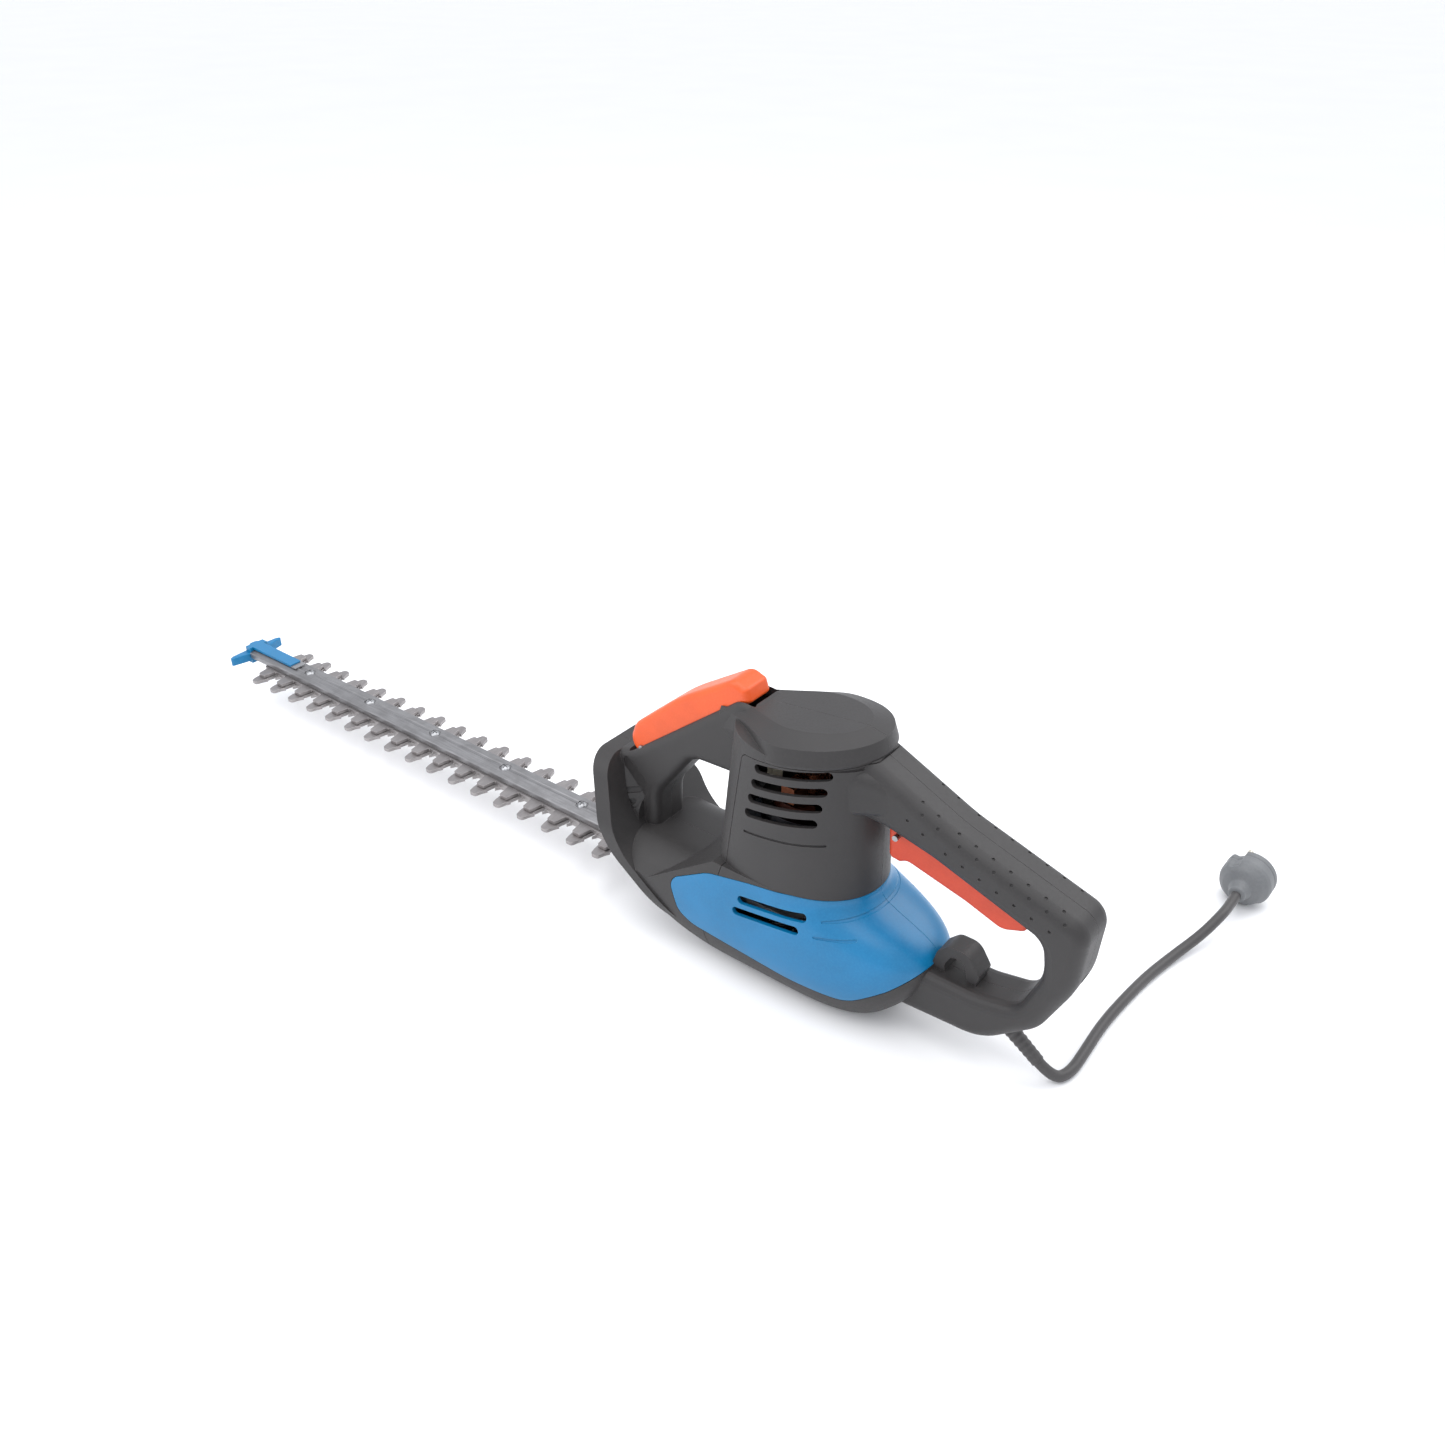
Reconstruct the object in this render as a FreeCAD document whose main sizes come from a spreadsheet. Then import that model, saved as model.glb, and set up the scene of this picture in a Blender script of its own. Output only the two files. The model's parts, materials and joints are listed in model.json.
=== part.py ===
import FreeCAD, Part
import math
import os
import re
import Sketcher

# Mains hedge trimmer. Millimetres. +Z up, blades toward -X, handles toward +X, -Y is the
# tool's left side. The origin is on the resting surface under the middle of the length.

V = FreeCAD.Vector
doc = FreeCAD.newDocument("hedge_trimmer")
sheet = doc.addObject("Spreadsheet::Sheet", "Sizes")

SIZES = [
    # blades
    ("tooth_pitch", 27.0), ("tooth_count", 17), ("first_tooth_place", -382.5),
    ("blade_level", 35.0), ("blade_thickness", 2.8), ("blade_play", 0.3),
    ("spine_half_width", 9.0), ("upper_tooth_reach", 24.0), ("lower_tooth_reach", 33.0),
    ("stroke_half", 6.75),
    # guide bar and its screws
    ("bar_half_width", 10.5), ("bar_height", 7.0), ("bar_wall", 2.2), ("bar_screw_count", 5),
    ("bar_screw_pitch", 86.5), ("first_bar_screw", -338.8), ("bar_screw_radius", 2.5),
    ("bar_nose", -418.0), ("bar_tail", 162.0),
    ("rail_place", 27.5), ("rail_half_width", 4.0),
    # drive
    ("crank_place", 192.5), ("crank_shaft_radius", 5.0), ("eccentric_radius", 9.0),
    ("gear_module", 1.0), ("gear_teeth", 53), ("pinion_teeth", 10), ("gear_level", 52.0),
    ("gear_thickness", 7.0), ("gear_backlash", 0.25), ("running_gap", 0.05), ("yoke_wall", 5.0),
    # motor
    ("armature_shaft_radius", 4.0), ("pinion_bore", 2.2), ("armature_radius", 18.0), ("air_gap", 0.6),
    ("stator_radius", 34.0), ("stator_height", 42.0), ("stator_level", 104.0),
    ("bearing_radius", 11.0), ("bearing_width", 7.0), ("lower_bearing_level", 72.0),
    ("upper_bearing_level", 176.0), ("commutator_radius", 11.0), ("commutator_level", 155.0),
    ("fan_radius", 30.0), ("fan_level", 86.0),
    # shells
    ("wall", 3.0), ("grip_wall", 4.0), ("seam", 0.5), ("hull_half_width", 49.0),
    ("hull_rear", 330.0), ("tower_place", 224.0), ("tower_half_length", 57.0),
    ("tower_half_width", 46.5), ("tower_level", 97.0), ("cap_seam_level", 192.0),
    ("cap_height", 19.0), ("cap_reach", 66.0), ("collar_half_width", 50.0), ("collar_top", 127.0),
    ("collar_foot", 51.0), ("collar_depth", 14.0), ("arch_half_width", 17.0),
    ("well_level", 75.0), ("grip_half_width", 19.0), ("grip_rear", 428.0),
    ("vent_width", 6.5), ("vent_length", 54.0), ("vent_pitch", 12.0),
    # switches
    ("trigger_half_width", 8.5), ("trigger_gap", 0.7), ("pivot_pin_radius", 2.0),
    ("switch_bar_half_width", 13.0), ("switch_bar_gap", 0.7),
    # cord
    ("cord_diameter", 7.6), ("boot_radius", 5.6), ("boot_length", 40.0), ("plug_radius", 19.5),
    # fasteners
    ("case_screw_radius", 2.0), ("case_screw_length", 18.0),
]
for row, (alias, value) in enumerate(SIZES, start=1):
    sheet.set("A%d" % row, alias)
    sheet.set("B%d" % row, str(value))
    sheet.setAlias("B%d" % row, alias)
doc.recompute()


def size(alias):
    """The value of one named cell of the sheet."""
    return float(sheet.get(alias))


# The free cord's route: from the end of the boot, over the floor, up to the plug.
CORD_ROUTE = [
    (404.0, 2.0, 14.4), (415.5, 2.9, 5.0), (421.8, 16.0, 3.8), (421.0, 40.0, 3.8), (419.6, 70.0, 3.8),
    (421.5, 102.0, 3.8), (425.0, 135.0, 3.8), (431.5, 166.0, 4.6), (440.5, 191.0, 11.0),
    (446.5, 210.0, 19.6), (447.2, 225.0, 19.6), (446.8, 240.0, 19.6),
]


# Pivots seen from the side: the rear trigger's in the tool's frame, the front switch bar's in its own.
TRIGGER_PIVOT = (296.0, 152.0)
BAR_PIVOT = (3.0, -3.0)
# The rounding along the rear handle's edges.
GRIP_RIM = 9.0

SUBPARTS = []


def keep(piece, name):
    """Marks a document object as one separate piece of the trimmer."""
    piece.Label = name
    SUBPARTS.append(piece)
    return piece


def bind(item, path, expression):
    """Ties a property to an expression in which each word of the sheet is a cell."""
    linked = re.sub(r"[a-z][a-z_]+[a-z]", link_word, str(expression))
    item.setExpression(path, linked)


def link_word(match):
    """Puts the sheet's name before a word that is one of its aliases."""
    word = match.group(0)
    if word in [alias for alias, value in SIZES]:
        return "Sizes." + word
    return word


def place(item, across, deep, high):
    """Ties the three coordinates of an object's place to expressions."""
    bind(item, "Placement.Base.x", across)
    bind(item, "Placement.Base.y", deep)
    bind(item, "Placement.Base.z", high)


def turn(item, axis, angle):
    """Turns an object about an axis through its own origin."""
    item.Placement = FreeCAD.Placement(item.Placement.Base, FreeCAD.Rotation(axis, angle))


def cylinder(name, radius, height, across, deep, high, axis=None):
    """A Part::Cylinder bound to the sheet; axis is Z unless X or Y is given."""
    item = doc.addObject("Part::Cylinder", name)
    bind(item, "Radius", radius)
    bind(item, "Height", height)
    if axis == "X":
        turn(item, V(0, 1, 0), 90)
    if axis == "Y":
        turn(item, V(1, 0, 0), -90)
    place(item, across, deep, high)
    return item


def block(name, length, width, height, across, deep, high):
    """A Part::Box bound to the sheet; across, deep and high are its lowest corner."""
    item = doc.addObject("Part::Box", name)
    bind(item, "Length", length)
    bind(item, "Width", width)
    bind(item, "Height", height)
    place(item, across, deep, high)
    return item


def cut(name, base, tool):
    """Part::Cut of tool from base."""
    item = doc.addObject("Part::Cut", name)
    item.Base = base
    item.Tool = tool
    return item


def fuse(name, *items):
    """Part::MultiFuse of several objects."""
    item = doc.addObject("Part::MultiFuse", name)
    item.Shapes = list(items)
    item.Refine = True
    return item


def solid_feature(name, shape):
    """A Part::Feature that holds a shape worked out from the sheet."""
    item = doc.addObject("Part::Feature", name)
    item.Shape = shape
    return item


def new_body(name):
    """A PartDesign body."""
    return doc.addObject("PartDesign::Body", name)


def new_sketch(body, name, plane="XY_Plane"):
    """A sketch flat on one of the body's own origin planes."""
    sketch = body.newObject("Sketcher::SketchObject", name)
    support = [item for item in body.Origin.OriginFeatures if item.Role == plane][0]
    sketch.AttachmentSupport = (support, [""])
    sketch.MapMode = "FlatFace"
    return sketch


def draw_bar(sketch, start, length, width):
    """A rectangle along the sketch's first axis, from start, its sizes bound to the sheet."""
    corners = [V(5, -2, 0), V(15, -2, 0), V(15, 2, 0), V(5, 2, 0)]
    first = sketch.GeometryCount
    for index in range(4):
        line = Part.LineSegment(corners[index], corners[(index + 1) % 4])
        sketch.addGeometry(line, False)
    for index in range(4):
        joined = ("Coincident", first + index, 2, first + (index + 1) % 4, 1)
        sketch.addConstraint(Sketcher.Constraint(*joined))
    sketch.addConstraint(Sketcher.Constraint("Horizontal", first))
    sketch.addConstraint(Sketcher.Constraint("Horizontal", first + 2))
    sketch.addConstraint(Sketcher.Constraint("Vertical", first + 1))
    sketch.addConstraint(Sketcher.Constraint("Symmetric", first, 1, first + 2, 2, -1))
    sizes = [(("DistanceX", -1, 1, first, 1, 5), start), (("DistanceX", first, 1, first, 2, 10), length),
             (("DistanceY", first, 1, first + 2, 2, 4), width)]
    for constraint, expression in sizes:
        made = sketch.addConstraint(Sketcher.Constraint(*constraint))
        bind(sketch, "Constraints[%d]" % made, expression)


def draw_circle(sketch, radius):
    """A circle about the sketch's origin, its radius bound to the sheet."""
    item = sketch.addGeometry(Part.Circle(V(0, 0, 0), V(0, 0, 1), 3), False)
    sketch.addConstraint(Sketcher.Constraint("Coincident", item, 3, -1, 1))
    wide = sketch.addConstraint(Sketcher.Constraint("Radius", item, 3))
    bind(sketch, "Constraints[%d]" % wide, radius)


def pad(body, sketch, name, length):
    """Pads a sketch by a bound length."""
    item = body.newObject("PartDesign::Pad", name)
    item.Profile = sketch
    bind(item, "Length", length)
    return item


def slotted_drum(name, radius, bore, height, slot_depth, slot_width, slots):
    """A drum with slots in its rim: a padded ring, one pocket, and a polar pattern of the pocket."""
    body = new_body(name)
    ring = new_sketch(body, name + "_ring")
    draw_circle(ring, radius)
    draw_circle(ring, bore)
    pad(body, ring, name + "_drum", height)
    mark = new_sketch(body, name + "_slot")
    draw_bar(mark, "%s - %s" % (radius, slot_depth), slot_depth + " + 1", slot_width)
    pocket = body.newObject("PartDesign::Pocket", name + "_pocket")
    pocket.Profile = mark
    pocket.Type = "ThroughAll"
    pocket.Reversed = True
    pattern = body.newObject("PartDesign::PolarPattern", name + "_slots")
    pattern.Originals = [pocket]
    pattern.Axis = ([item for item in body.Origin.OriginFeatures if item.Role == "Z_Axis"][0], [""])
    pattern.Angle = 360
    pattern.Occurrences = slots
    body.Tip = pattern
    return body


def compound(name, items):
    """Several like objects in one node."""
    item = doc.addObject("Part::Compound", name)
    item.Links = items
    return item


# ---------------------------------------------------------------- outlines and solids

def side_point(point):
    """A point (along, up) of the tool's middle plane."""
    return V(point[0], 0, point[1])


def top_point(point):
    """A point (along, aside) of the plan, at height 0."""
    return V(point[0], point[1], 0)


def end_point(point):
    """A point (aside, up) of the cross-section, at station 0."""
    return V(0, point[0], point[1])


def outline(corners, to_space):
    """A closed wire of straight runs; each corner is (a, b, radius) and is rounded."""
    spots = [to_space(corner) for corner in corners]
    edges = []
    previous_end = None
    first_start = None
    for index, corner in enumerate(corners):
        here = spots[index]
        before = (spots[index - 1] - here).normalize()
        after = (spots[(index + 1) % len(spots)] - here).normalize()
        radius = corner[2]
        if radius > 0:
            half_turn = before.getAngle(after) / 2
            reach = radius / math.tan(half_turn)
            start = here + before * reach
            end = here + after * reach
            middle_line = (before + after).normalize()
            centre = here + middle_line * (radius / math.sin(half_turn))
            middle = centre - middle_line * radius
            arc = Part.Arc(start, middle, end).toShape()
        else:
            start = here
            end = here
            arc = None
        if previous_end is not None and previous_end.distanceToPoint(start) > 1e-6:
            edges.append(Part.LineSegment(previous_end, start).toShape())
        if arc:
            edges.append(arc)
        if first_start is None:
            first_start = start
        previous_end = end
    if previous_end.distanceToPoint(first_start) > 1e-6:
        edges.append(Part.LineSegment(previous_end, first_start).toShape())
    return Part.Wire(edges)


def slab(wire, half_width):
    """A side outline extruded the same distance to both sides of the middle plane."""
    face = Part.Face(wire)
    face.translate(V(0, -half_width, 0))
    return face.extrude(V(0, 2 * half_width, 0))


def rim_edges(solid, half_width):
    """The edges of a slab that lie in its two side faces."""
    found = []
    for edge in solid.Edges:
        low = edge.BoundBox.YMin
        high = edge.BoundBox.YMax
        if abs(high - low) < 1e-6 and abs(abs(low) - half_width) < 1e-6:
            found.append(edge)
    return found


def rounded_slab(wire, half_width, radius):
    """A slab whose side edges are rounded."""
    solid = slab(wire, half_width)
    return solid.makeFillet(radius, rim_edges(solid, half_width))


def egg_points(place_x, front, rear, half_width, front_power, rear_power, count=8):
    """Half a plan outline: superellipse quarters, from the front tip round to the rear tip."""
    points = []
    for step in range(2 * count + 1):
        angle = math.pi * step / (2 * count)
        power = front_power if step <= count else rear_power
        reach = front if step <= count else rear
        along = abs(math.cos(angle)) ** (2 / power) * reach
        aside = abs(math.sin(angle)) ** (2 / power) * half_width
        sign = -1 if step <= count else 1
        points.append((place_x + sign * along, aside))
    return points


def egg_wire(level, place_x, front, rear, half_width, front_power, rear_power):
    """A closed level curve through an egg outline and its mirror image."""
    half = egg_points(place_x, front, rear, half_width, front_power, rear_power)
    other = [(along, -aside) for along, aside in half[-2:0:-1]]
    points = [V(along, aside, level) for along, aside in half + other]
    curve = Part.BSplineCurve()
    curve.interpolate(points, PeriodicFlag=True)
    return Part.Wire([curve.toShape()])


def shrunk(wire, inset):
    """A wire offset inwards."""
    return wire.makeOffset2D(-inset)


# ---------------------------------------------------------------- outer shape of the body

def hull_loft(inset):
    """The belly and lower body: egg outlines lofted upwards, all moved in by inset."""
    middle = size("tower_place")
    wide = size("hull_half_width") - inset
    rear = size("hull_rear") - middle - inset
    top = size("tower_level") - 0.4 * inset
    front = middle - size("collar_foot") - 10
    levels = [
        (inset, 0.56, 0.60, 3.0), (12, 0.78, 0.74, 3.0), (27, 0.93, 0.86, 2.9),
        (44, 0.99, 0.97, 2.7), (60, 1.0, 1.0, 2.5), (78, 0.985, 0.80, 2.3),
    ]
    wires = []
    for level, share, rear_share, power in levels:
        wires.append(egg_wire(level, middle, front, rear * rear_share, wide * share, 8, power))
    wires.append(egg_wire(top, middle, front, size("tower_half_length") - inset,
                          size("tower_half_width") - inset, 6, 2.05))
    return Part.makeLoft(wires, True)


def tower_loft(inset):
    """The motor tower: egg outlines from the lower body up to the cap."""
    middle = size("tower_place")
    long = size("tower_half_length") - inset
    wide = size("tower_half_width") - inset
    bottom = size("tower_level") - 8
    top = size("cap_seam_level") + 4 - inset
    wires = [
        egg_wire(bottom, middle, long, long, wide, 3.6, 2.05),
        egg_wire((bottom + top) / 2, middle, long - 1, long - 1, wide - 1.5, 2.8, 2.05),
        egg_wire(top, middle, long - 3, long - 2, wide - 3.5, 2.2, 2.05),
    ]
    return Part.makeLoft(wires, True)


def cap_wire(level, tilt, inset):
    """The cap's plan: an ellipse behind the motor's middle, drawn in to the arch in front."""
    middle = size("tower_place")
    long = size("tower_half_length") - 1 - inset
    wide = size("tower_half_width") - 2.5 - inset
    neck = size("arch_half_width") - 0.45 * inset
    front = size("cap_reach")
    half = [(-front, neck), (-front * 0.66, neck + 0.22 * (wide - neck)),
            (-front * 0.36, neck + 0.66 * (wide - neck)), (-front * 0.08, wide)]
    for step in range(1, 7):
        angle = math.pi / 2 * step / 6
        half.append((long * math.sin(angle), wide * math.cos(angle)))
    points = half + [(along, -aside) for along, aside in half[-2::-1]]
    spots = [V(middle + along, aside, level + tilt * along) for along, aside in points]
    curve = Part.BSplineCurve()
    curve.interpolate(spots)
    closing = Part.LineSegment(spots[-1], spots[0])
    return Part.Wire([curve.toShape(), closing.toShape()])


def cap_loft(inset):
    """The cap over the motor: a steep side, a crease and a low roof."""
    seam = size("cap_seam_level")
    roof = seam + size("cap_height") - inset
    wires = [cap_wire(seam - 5, 0.16, inset + 2.5), cap_wire(seam + 2, 0.16, inset),
             cap_wire(roof - 6, 0.15, inset + 3), cap_wire(roof, 0.12, inset + 17)]
    return Part.makeLoft(wires, True, True)


def rim_corners(shift):
    """The collar's front edge seen from the side, moved back by shift."""
    foot = size("collar_foot") + shift
    top = size("collar_top")
    return [(foot - 3, top + 6, 0), (foot + 31, top - 62, 50), (foot + 86, top - 102, 70),
            (foot + 150, -8, 0)]


def behind_rim(shift):
    """Everything behind the collar's front edge, as a slab."""
    corners = rim_corners(shift) + [(600, -8, 0), (600, 300, 0), (size("collar_foot") + shift - 3, 300, 0)]
    return slab(outline(corners, side_point), 80)


def collar_section(inset):
    """The collar seen from the front: broad shoulders, flat foot."""
    wide = size("collar_half_width") - inset
    top = size("collar_top") - inset
    corners = [(-24, inset, 12), (-wide, 34, 30), (-wide, 84, 24), (-30, top, 22),
               (30, top, 22), (wide, 84, 24), (wide, 34, 30), (24, inset, 12)]
    return Part.Face(outline(corners, end_point))


def collar_solid():
    """The hand guard: a dished collar, thick at the rim, with a wall behind the dish."""
    depth = size("collar_depth")
    whole = collar_section(0).extrude(V(300, 0, 0))
    dish = collar_section(4.5).extrude(V(300, 0, 0))
    body = whole.common(behind_rim(0)).cut(behind_rim(depth))
    hollow = dish.cut(behind_rim(depth - 5))
    return body.cut(hollow)


def neck_loft(inset):
    """The flare from the collar to the foot of the arch."""
    back = size("collar_foot") + size("collar_depth")
    top = size("collar_top") - inset
    wires = []
    for shift, half_width, drop in ((0, 45, 3), (8, 37, 6), (18, 29, 11), (32, 23.5, 21)):
        corners = [(-half_width + inset, 30, 8), (-half_width + inset, top - drop - 18, 12),
                   (-half_width * 0.45, top - drop, 10), (half_width * 0.45, top - drop, 10),
                   (half_width - inset, top - drop - 18, 12), (half_width - inset, 30, 8)]
        wire = outline(corners, end_point)
        wire.translate(V(back - 8 + shift, 0, 0))
        wires.append(wire)
    return Part.makeLoft(wires, True).common(behind_rim(size("collar_depth") - 6))


def dome_face(inset):
    """The lower body's section in front of the tower: a low dome."""
    wide = size("hull_half_width") - inset
    top = size("well_level") - inset
    corners = [(-wide - 4, -5, 0), (-wide - 4, 52, 10), (-33, top, 34), (33, top, 34),
               (wide + 4, 52, 10), (wide + 4, -5, 0)]
    return Part.Face(outline(corners, end_point))


def lower_solid(inset):
    """The lower body: full height behind the hand well, a low dome in front of it."""
    loft = hull_loft(inset)
    shoulder = [(112 + inset, 52, 0), (140 + inset, 72, 40), (182 + inset, size("tower_level") + 4, 0),
                (600, 200, 0), (600, -8, 0), (112 + inset, -8, 0)]
    rear = loft.common(slab(outline(shoulder, side_point), 80))
    front = loft.common(dome_face(inset).extrude(V(220, 0, 0)))
    return rear.fuse(front).common(behind_rim(4 + 1.0 * inset))


def arch_corners():
    """The front handle from the side: from the collar up to the cap, round the hand hole."""
    foot = size("collar_foot")
    top = size("collar_top")
    cap = size("cap_seam_level") + 16
    well = size("well_level")
    return [(foot + 3, top - 3, 6), (foot + 24, top + 3, 20), (foot + 122, cap, 14), (foot + 146, cap - 2, 14),
            (foot + 175, cap - 14, 4), (foot + 175, cap - 64, 6), (foot + 124, cap - 60, 22),
            (foot + 82, cap - 62, 18),
            (foot + 50, well + 28, 24), (foot + 50, well - 15, 6), (foot + 30, well - 15, 6)]


def grip_corners():
    """The rear handle from the side, outside."""
    rear = size("grip_rear")
    return [(250, 205, 12), (272, 204, 14), (336, 174, 120), (rear, 144, 15), (rear - 3, 97, 60),
            (rear - 22, 56, 30), (rear - 57, 26, 40), (290, 22, 12), (250, 40, 12)]


def grip_hole_corners():
    """The rear hand hole from the side."""
    rear = size("grip_rear")
    return [(264, 160, 8), (290, 158, 60), (324, 150, 80), (rear - 28, 124, 13), (rear - 24, 100, 30),
            (rear - 37, 66, 16), (rear - 66, 60, 40), (264, 60, 8)]


def grip_solid(wall):
    """The rear handle; with a wall it is the space inside it."""
    outside = outline(grip_corners(), side_point)
    hole = outline(grip_hole_corners(), side_point)
    half = size("grip_half_width")
    if wall == 0:
        return rounded_slab(outside, half, GRIP_RIM).cut(hole_with_soft_edges(hole, half, GRIP_RIM - 1))
    inner = slab(shrunk(outside, wall), half - wall)
    grown = slab(hole.makeOffset2D(wall), half)
    return inner.cut(grown)


def grip_flare(inset):
    """The rear handle's root: it broadens forwards until it meets the tower's side."""
    middle = size("tower_place")
    seam = size("cap_seam_level")
    slim = size("grip_half_width")
    wide = size("tower_half_width")
    wires = []
    for along, half_width, low, high in ((16, wide - 7, -34, 0), (34, wide - 15, -31, 3), (54, slim + 4, -28, 3),
                                         (84, slim - 1.5, -25, -9)):
        half = half_width - inset
        corners = [(-half, seam + low + inset, 6), (-half, seam + high - inset, 9),
                   (half, seam + high - inset, 9), (half, seam + low + inset, 6)]
        wire = outline(corners, end_point)
        wire.translate(V(middle + along, 0, 0))
        wires.append(wire)
    return Part.makeLoft(wires, True)


def hole_with_soft_edges(hole, half, radius):
    """The tool that opens a hand hole and rounds its two rims."""
    straight = slab(hole, half + 1)
    flared = []
    steps = 5
    for step in range(1, steps + 1):
        angle = math.pi / 2 * step / steps
        grow = radius * (1 - math.cos(angle))
        depth = half - radius + radius * math.sin(angle)
        flared.append((grow, depth))
    tool = straight
    for side in (-1, 1):
        wires = []
        base = hole.copy()
        base.translate(V(0, side * (half - radius), 0))
        wires.append(base)
        for grow, depth in flared:
            wire = hole.makeOffset2D(grow)
            wire.translate(V(0, side * depth, 0))
            wires.append(wire)
        tool = tool.fuse(Part.makeLoft(wires, True, True))
    return tool


def arch_solid(wall):
    """The front handle; with a wall it is the space inside it."""
    wire = outline(arch_corners(), side_point)
    half = size("arch_half_width")
    if wall == 0:
        return rounded_slab(wire, half, 7).common(behind_rim(size("collar_depth") - 6))
    return slab(shrunk(wire, wall), half - wall).common(behind_rim(size("collar_depth") + 2))


# ---------------------------------------------------------------- shells

def outer_solid():
    """The whole body as one solid, before it is hollowed and split."""
    whole = lower_solid(0)
    for part in (tower_loft(0), cap_loft(0), collar_solid(), neck_loft(0), grip_flare(0), grip_solid(0),
                 arch_solid(0)):
        whole = whole.fuse(part)
    return whole.removeSplitter()


def inner_solid():
    """The space inside the body."""
    wall = size("wall")
    grip_wall = size("grip_wall")
    space = lower_solid(wall)
    for part in (tower_loft(wall), cap_loft(wall), grip_flare(wall), grip_solid(grip_wall),
                 arch_solid(grip_wall)):
        space = space.fuse(part)
    return space


def cover_region(gap):
    """The side view of the two lower covers."""
    rear = size("hull_rear")
    top = size("tower_level")
    corners = [(146, 40, 14), (138, 66, 12), (172, top - 11, 30), (206, top - 4, 60), (240, top + 1, 40),
               (rear + 15, top + 1, 0), (rear + 15, 72, 0), (rear - 2, 62, 30), (rear - 20, 46, 30),
               (rear - 46, 27, 30), (236, 26, 90), (158, 33, 20)]
    side_view = slab(shrunk(outline(corners, side_point), gap), 90)
    before_tower = size("tower_place") - size("tower_half_length") + 28
    half = size("hull_half_width") - 11 + gap
    return side_view.cut(Part.makeBox(before_tower - 100, 2 * half, 200, V(100, -half, 0)))


def front_region(gap):
    """The side view of the front shells: all before the tower's seam and above the cap's."""
    seam = size("cap_seam_level")
    middle = size("tower_place")
    corners = [(20, -20, 0), (middle - 56, -20, 0), (middle - 56, 40, 0), (middle - 40, size("tower_level"), 10),
               (middle - 30, seam - 5, 6), (middle + 90, seam + 14, 0), (middle + 90, 300, 0), (20, 300, 0)]
    return slab(shrunk(outline(corners, side_point), gap), 90)


def half_space(side, gap):
    """One side of the middle plane, less half a seam."""
    base = gap if side > 0 else -gap - 200
    return Part.makeBox(700, 200, 400, V(-20, base, -50))


def vent_tool(along, level, tilt, length, width):
    """A slot with round ends, right through both side walls."""
    corners = [(0, -width / 2, width / 2.01), (length, -width / 2, width / 2.01),
               (length, width / 2, width / 2.01), (0, width / 2, width / 2.01)]
    tool = slab(outline(corners, side_point), 90)
    tool.rotate(V(0, 0, 0), V(0, 1, 0), -tilt)
    tool.translate(V(along, 0, level))
    return tool


def vent_tools():
    """Four vents in the tower and two in the lower cover, on both sides."""
    width = size("vent_width")
    length = size("vent_length")
    pitch = size("vent_pitch")
    tools = []
    for row in range(4):
        tools.append(vent_tool(207 - 2.2 * row, 183 - pitch * row, 11, length, width))
    for row in range(2):
        tools.append(vent_tool(199 - 4 * row, 77 - (pitch - 1) * row, 8, length, width))
    middle = Part.makeBox(300, 36, 300, V(100, -18, 0))
    return Part.makeCompound(tools).cut(middle)


def grip_dimples():
    """Three staggered rows of small dimples along both upper sides of the rear handle."""
    root, bend, rear = [V(along, 0, level) for along, level, radius in grip_corners()[1:4]]
    rim = GRIP_RIM
    dimples = []
    for first, last, start, count in ((root, bend, 44, 2), (bend, rear, 2, 7)):
        run = (last - first).normalize()
        inward = V(run.z, 0, -run.x)
        for step in range(count):
            for row, (angle, below) in enumerate(((0, 5), (35, 0), (76, 0))):
                aside = math.cos(math.radians(angle))
                rise = math.sin(math.radians(angle))
                spot = first + run * (start + 12.5 * step + 5 * (row % 2))
                spot = spot + inward * (rim * (1 - rise) + below + 0.8 * rise)
                across = size("grip_half_width") - rim + (rim - 0.8) * aside
                for side in (-1, 1):
                    outward = V(0, side * aside, 0) - inward * rise
                    dimples.append(Part.makeCylinder(1.1, 3, spot + V(0, side * across, 0), outward))
    return Part.makeCompound(dimples)


def shallow_grooves():
    """Lines pressed into the skin: a lip under the tower's vents, and two ribs behind the cover's."""
    length = size("vent_length")
    lip = vent_tool(200, 132, 9, length + 6, 1.8).cut(tower_loft(1.0))
    ribs = [vent_tool(262 - 3 * row, 84.5 - 11 * row, 9, 34 - 6 * row, 1.8).cut(hull_loft(0.8))
            for row in range(2)]
    return [lip] + ribs


def arch_foot(inset):
    """The arch with the flare that joins it to the collar, moved in by inset."""
    arch = slab(outline(arch_corners(), side_point), size("arch_half_width") - inset)
    return neck_loft(inset).fuse(arch)


def foot_panel():
    """A U-shaped panel sunk into each side of the arch's foot, with two deeper slots in it."""
    foot = size("collar_foot")
    top = size("collar_top")
    corners = [(foot + 20, top + 1, 3), (foot + 18, top - 24, 8), (foot + 22, top - 40, 7),
               (foot + 35, top - 40, 7), (foot + 40, top - 28, 8), (foot + 40, top - 14, 3)]
    panel = slab(outline(corners, side_point), 50)
    slots = [vent_tool(foot + 22 + 2 * row, top - 27 - 8 * row, 4, 14 - 4 * row, 4.5) for row in range(2)]
    outside = arch_foot(0)
    return [outside.cut(arch_foot(1.2)).common(panel),
            outside.cut(arch_foot(3.2)).common(Part.makeCompound(slots))]


def blade_mouth():
    """The opening in the front wall that the guide bar and the blades pass through."""
    half = size("bar_half_width") + 4
    return Part.makeBox(180, 2 * half, 27, V(0, -half, size("blade_level") - 13))


def switch_bar_line(offset):
    """Two points on the arch's back, offset outwards: the foot and the head of the switch bar."""
    foot = size("collar_foot")
    slope = math.atan2(size("cap_seam_level") + 16 - size("collar_top") - 3, 98.0)
    start = V(foot + 30, 0, size("collar_top") + 9)
    start = start + V(-math.sin(slope), 0, math.cos(slope)) * offset
    return start, slope


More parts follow.
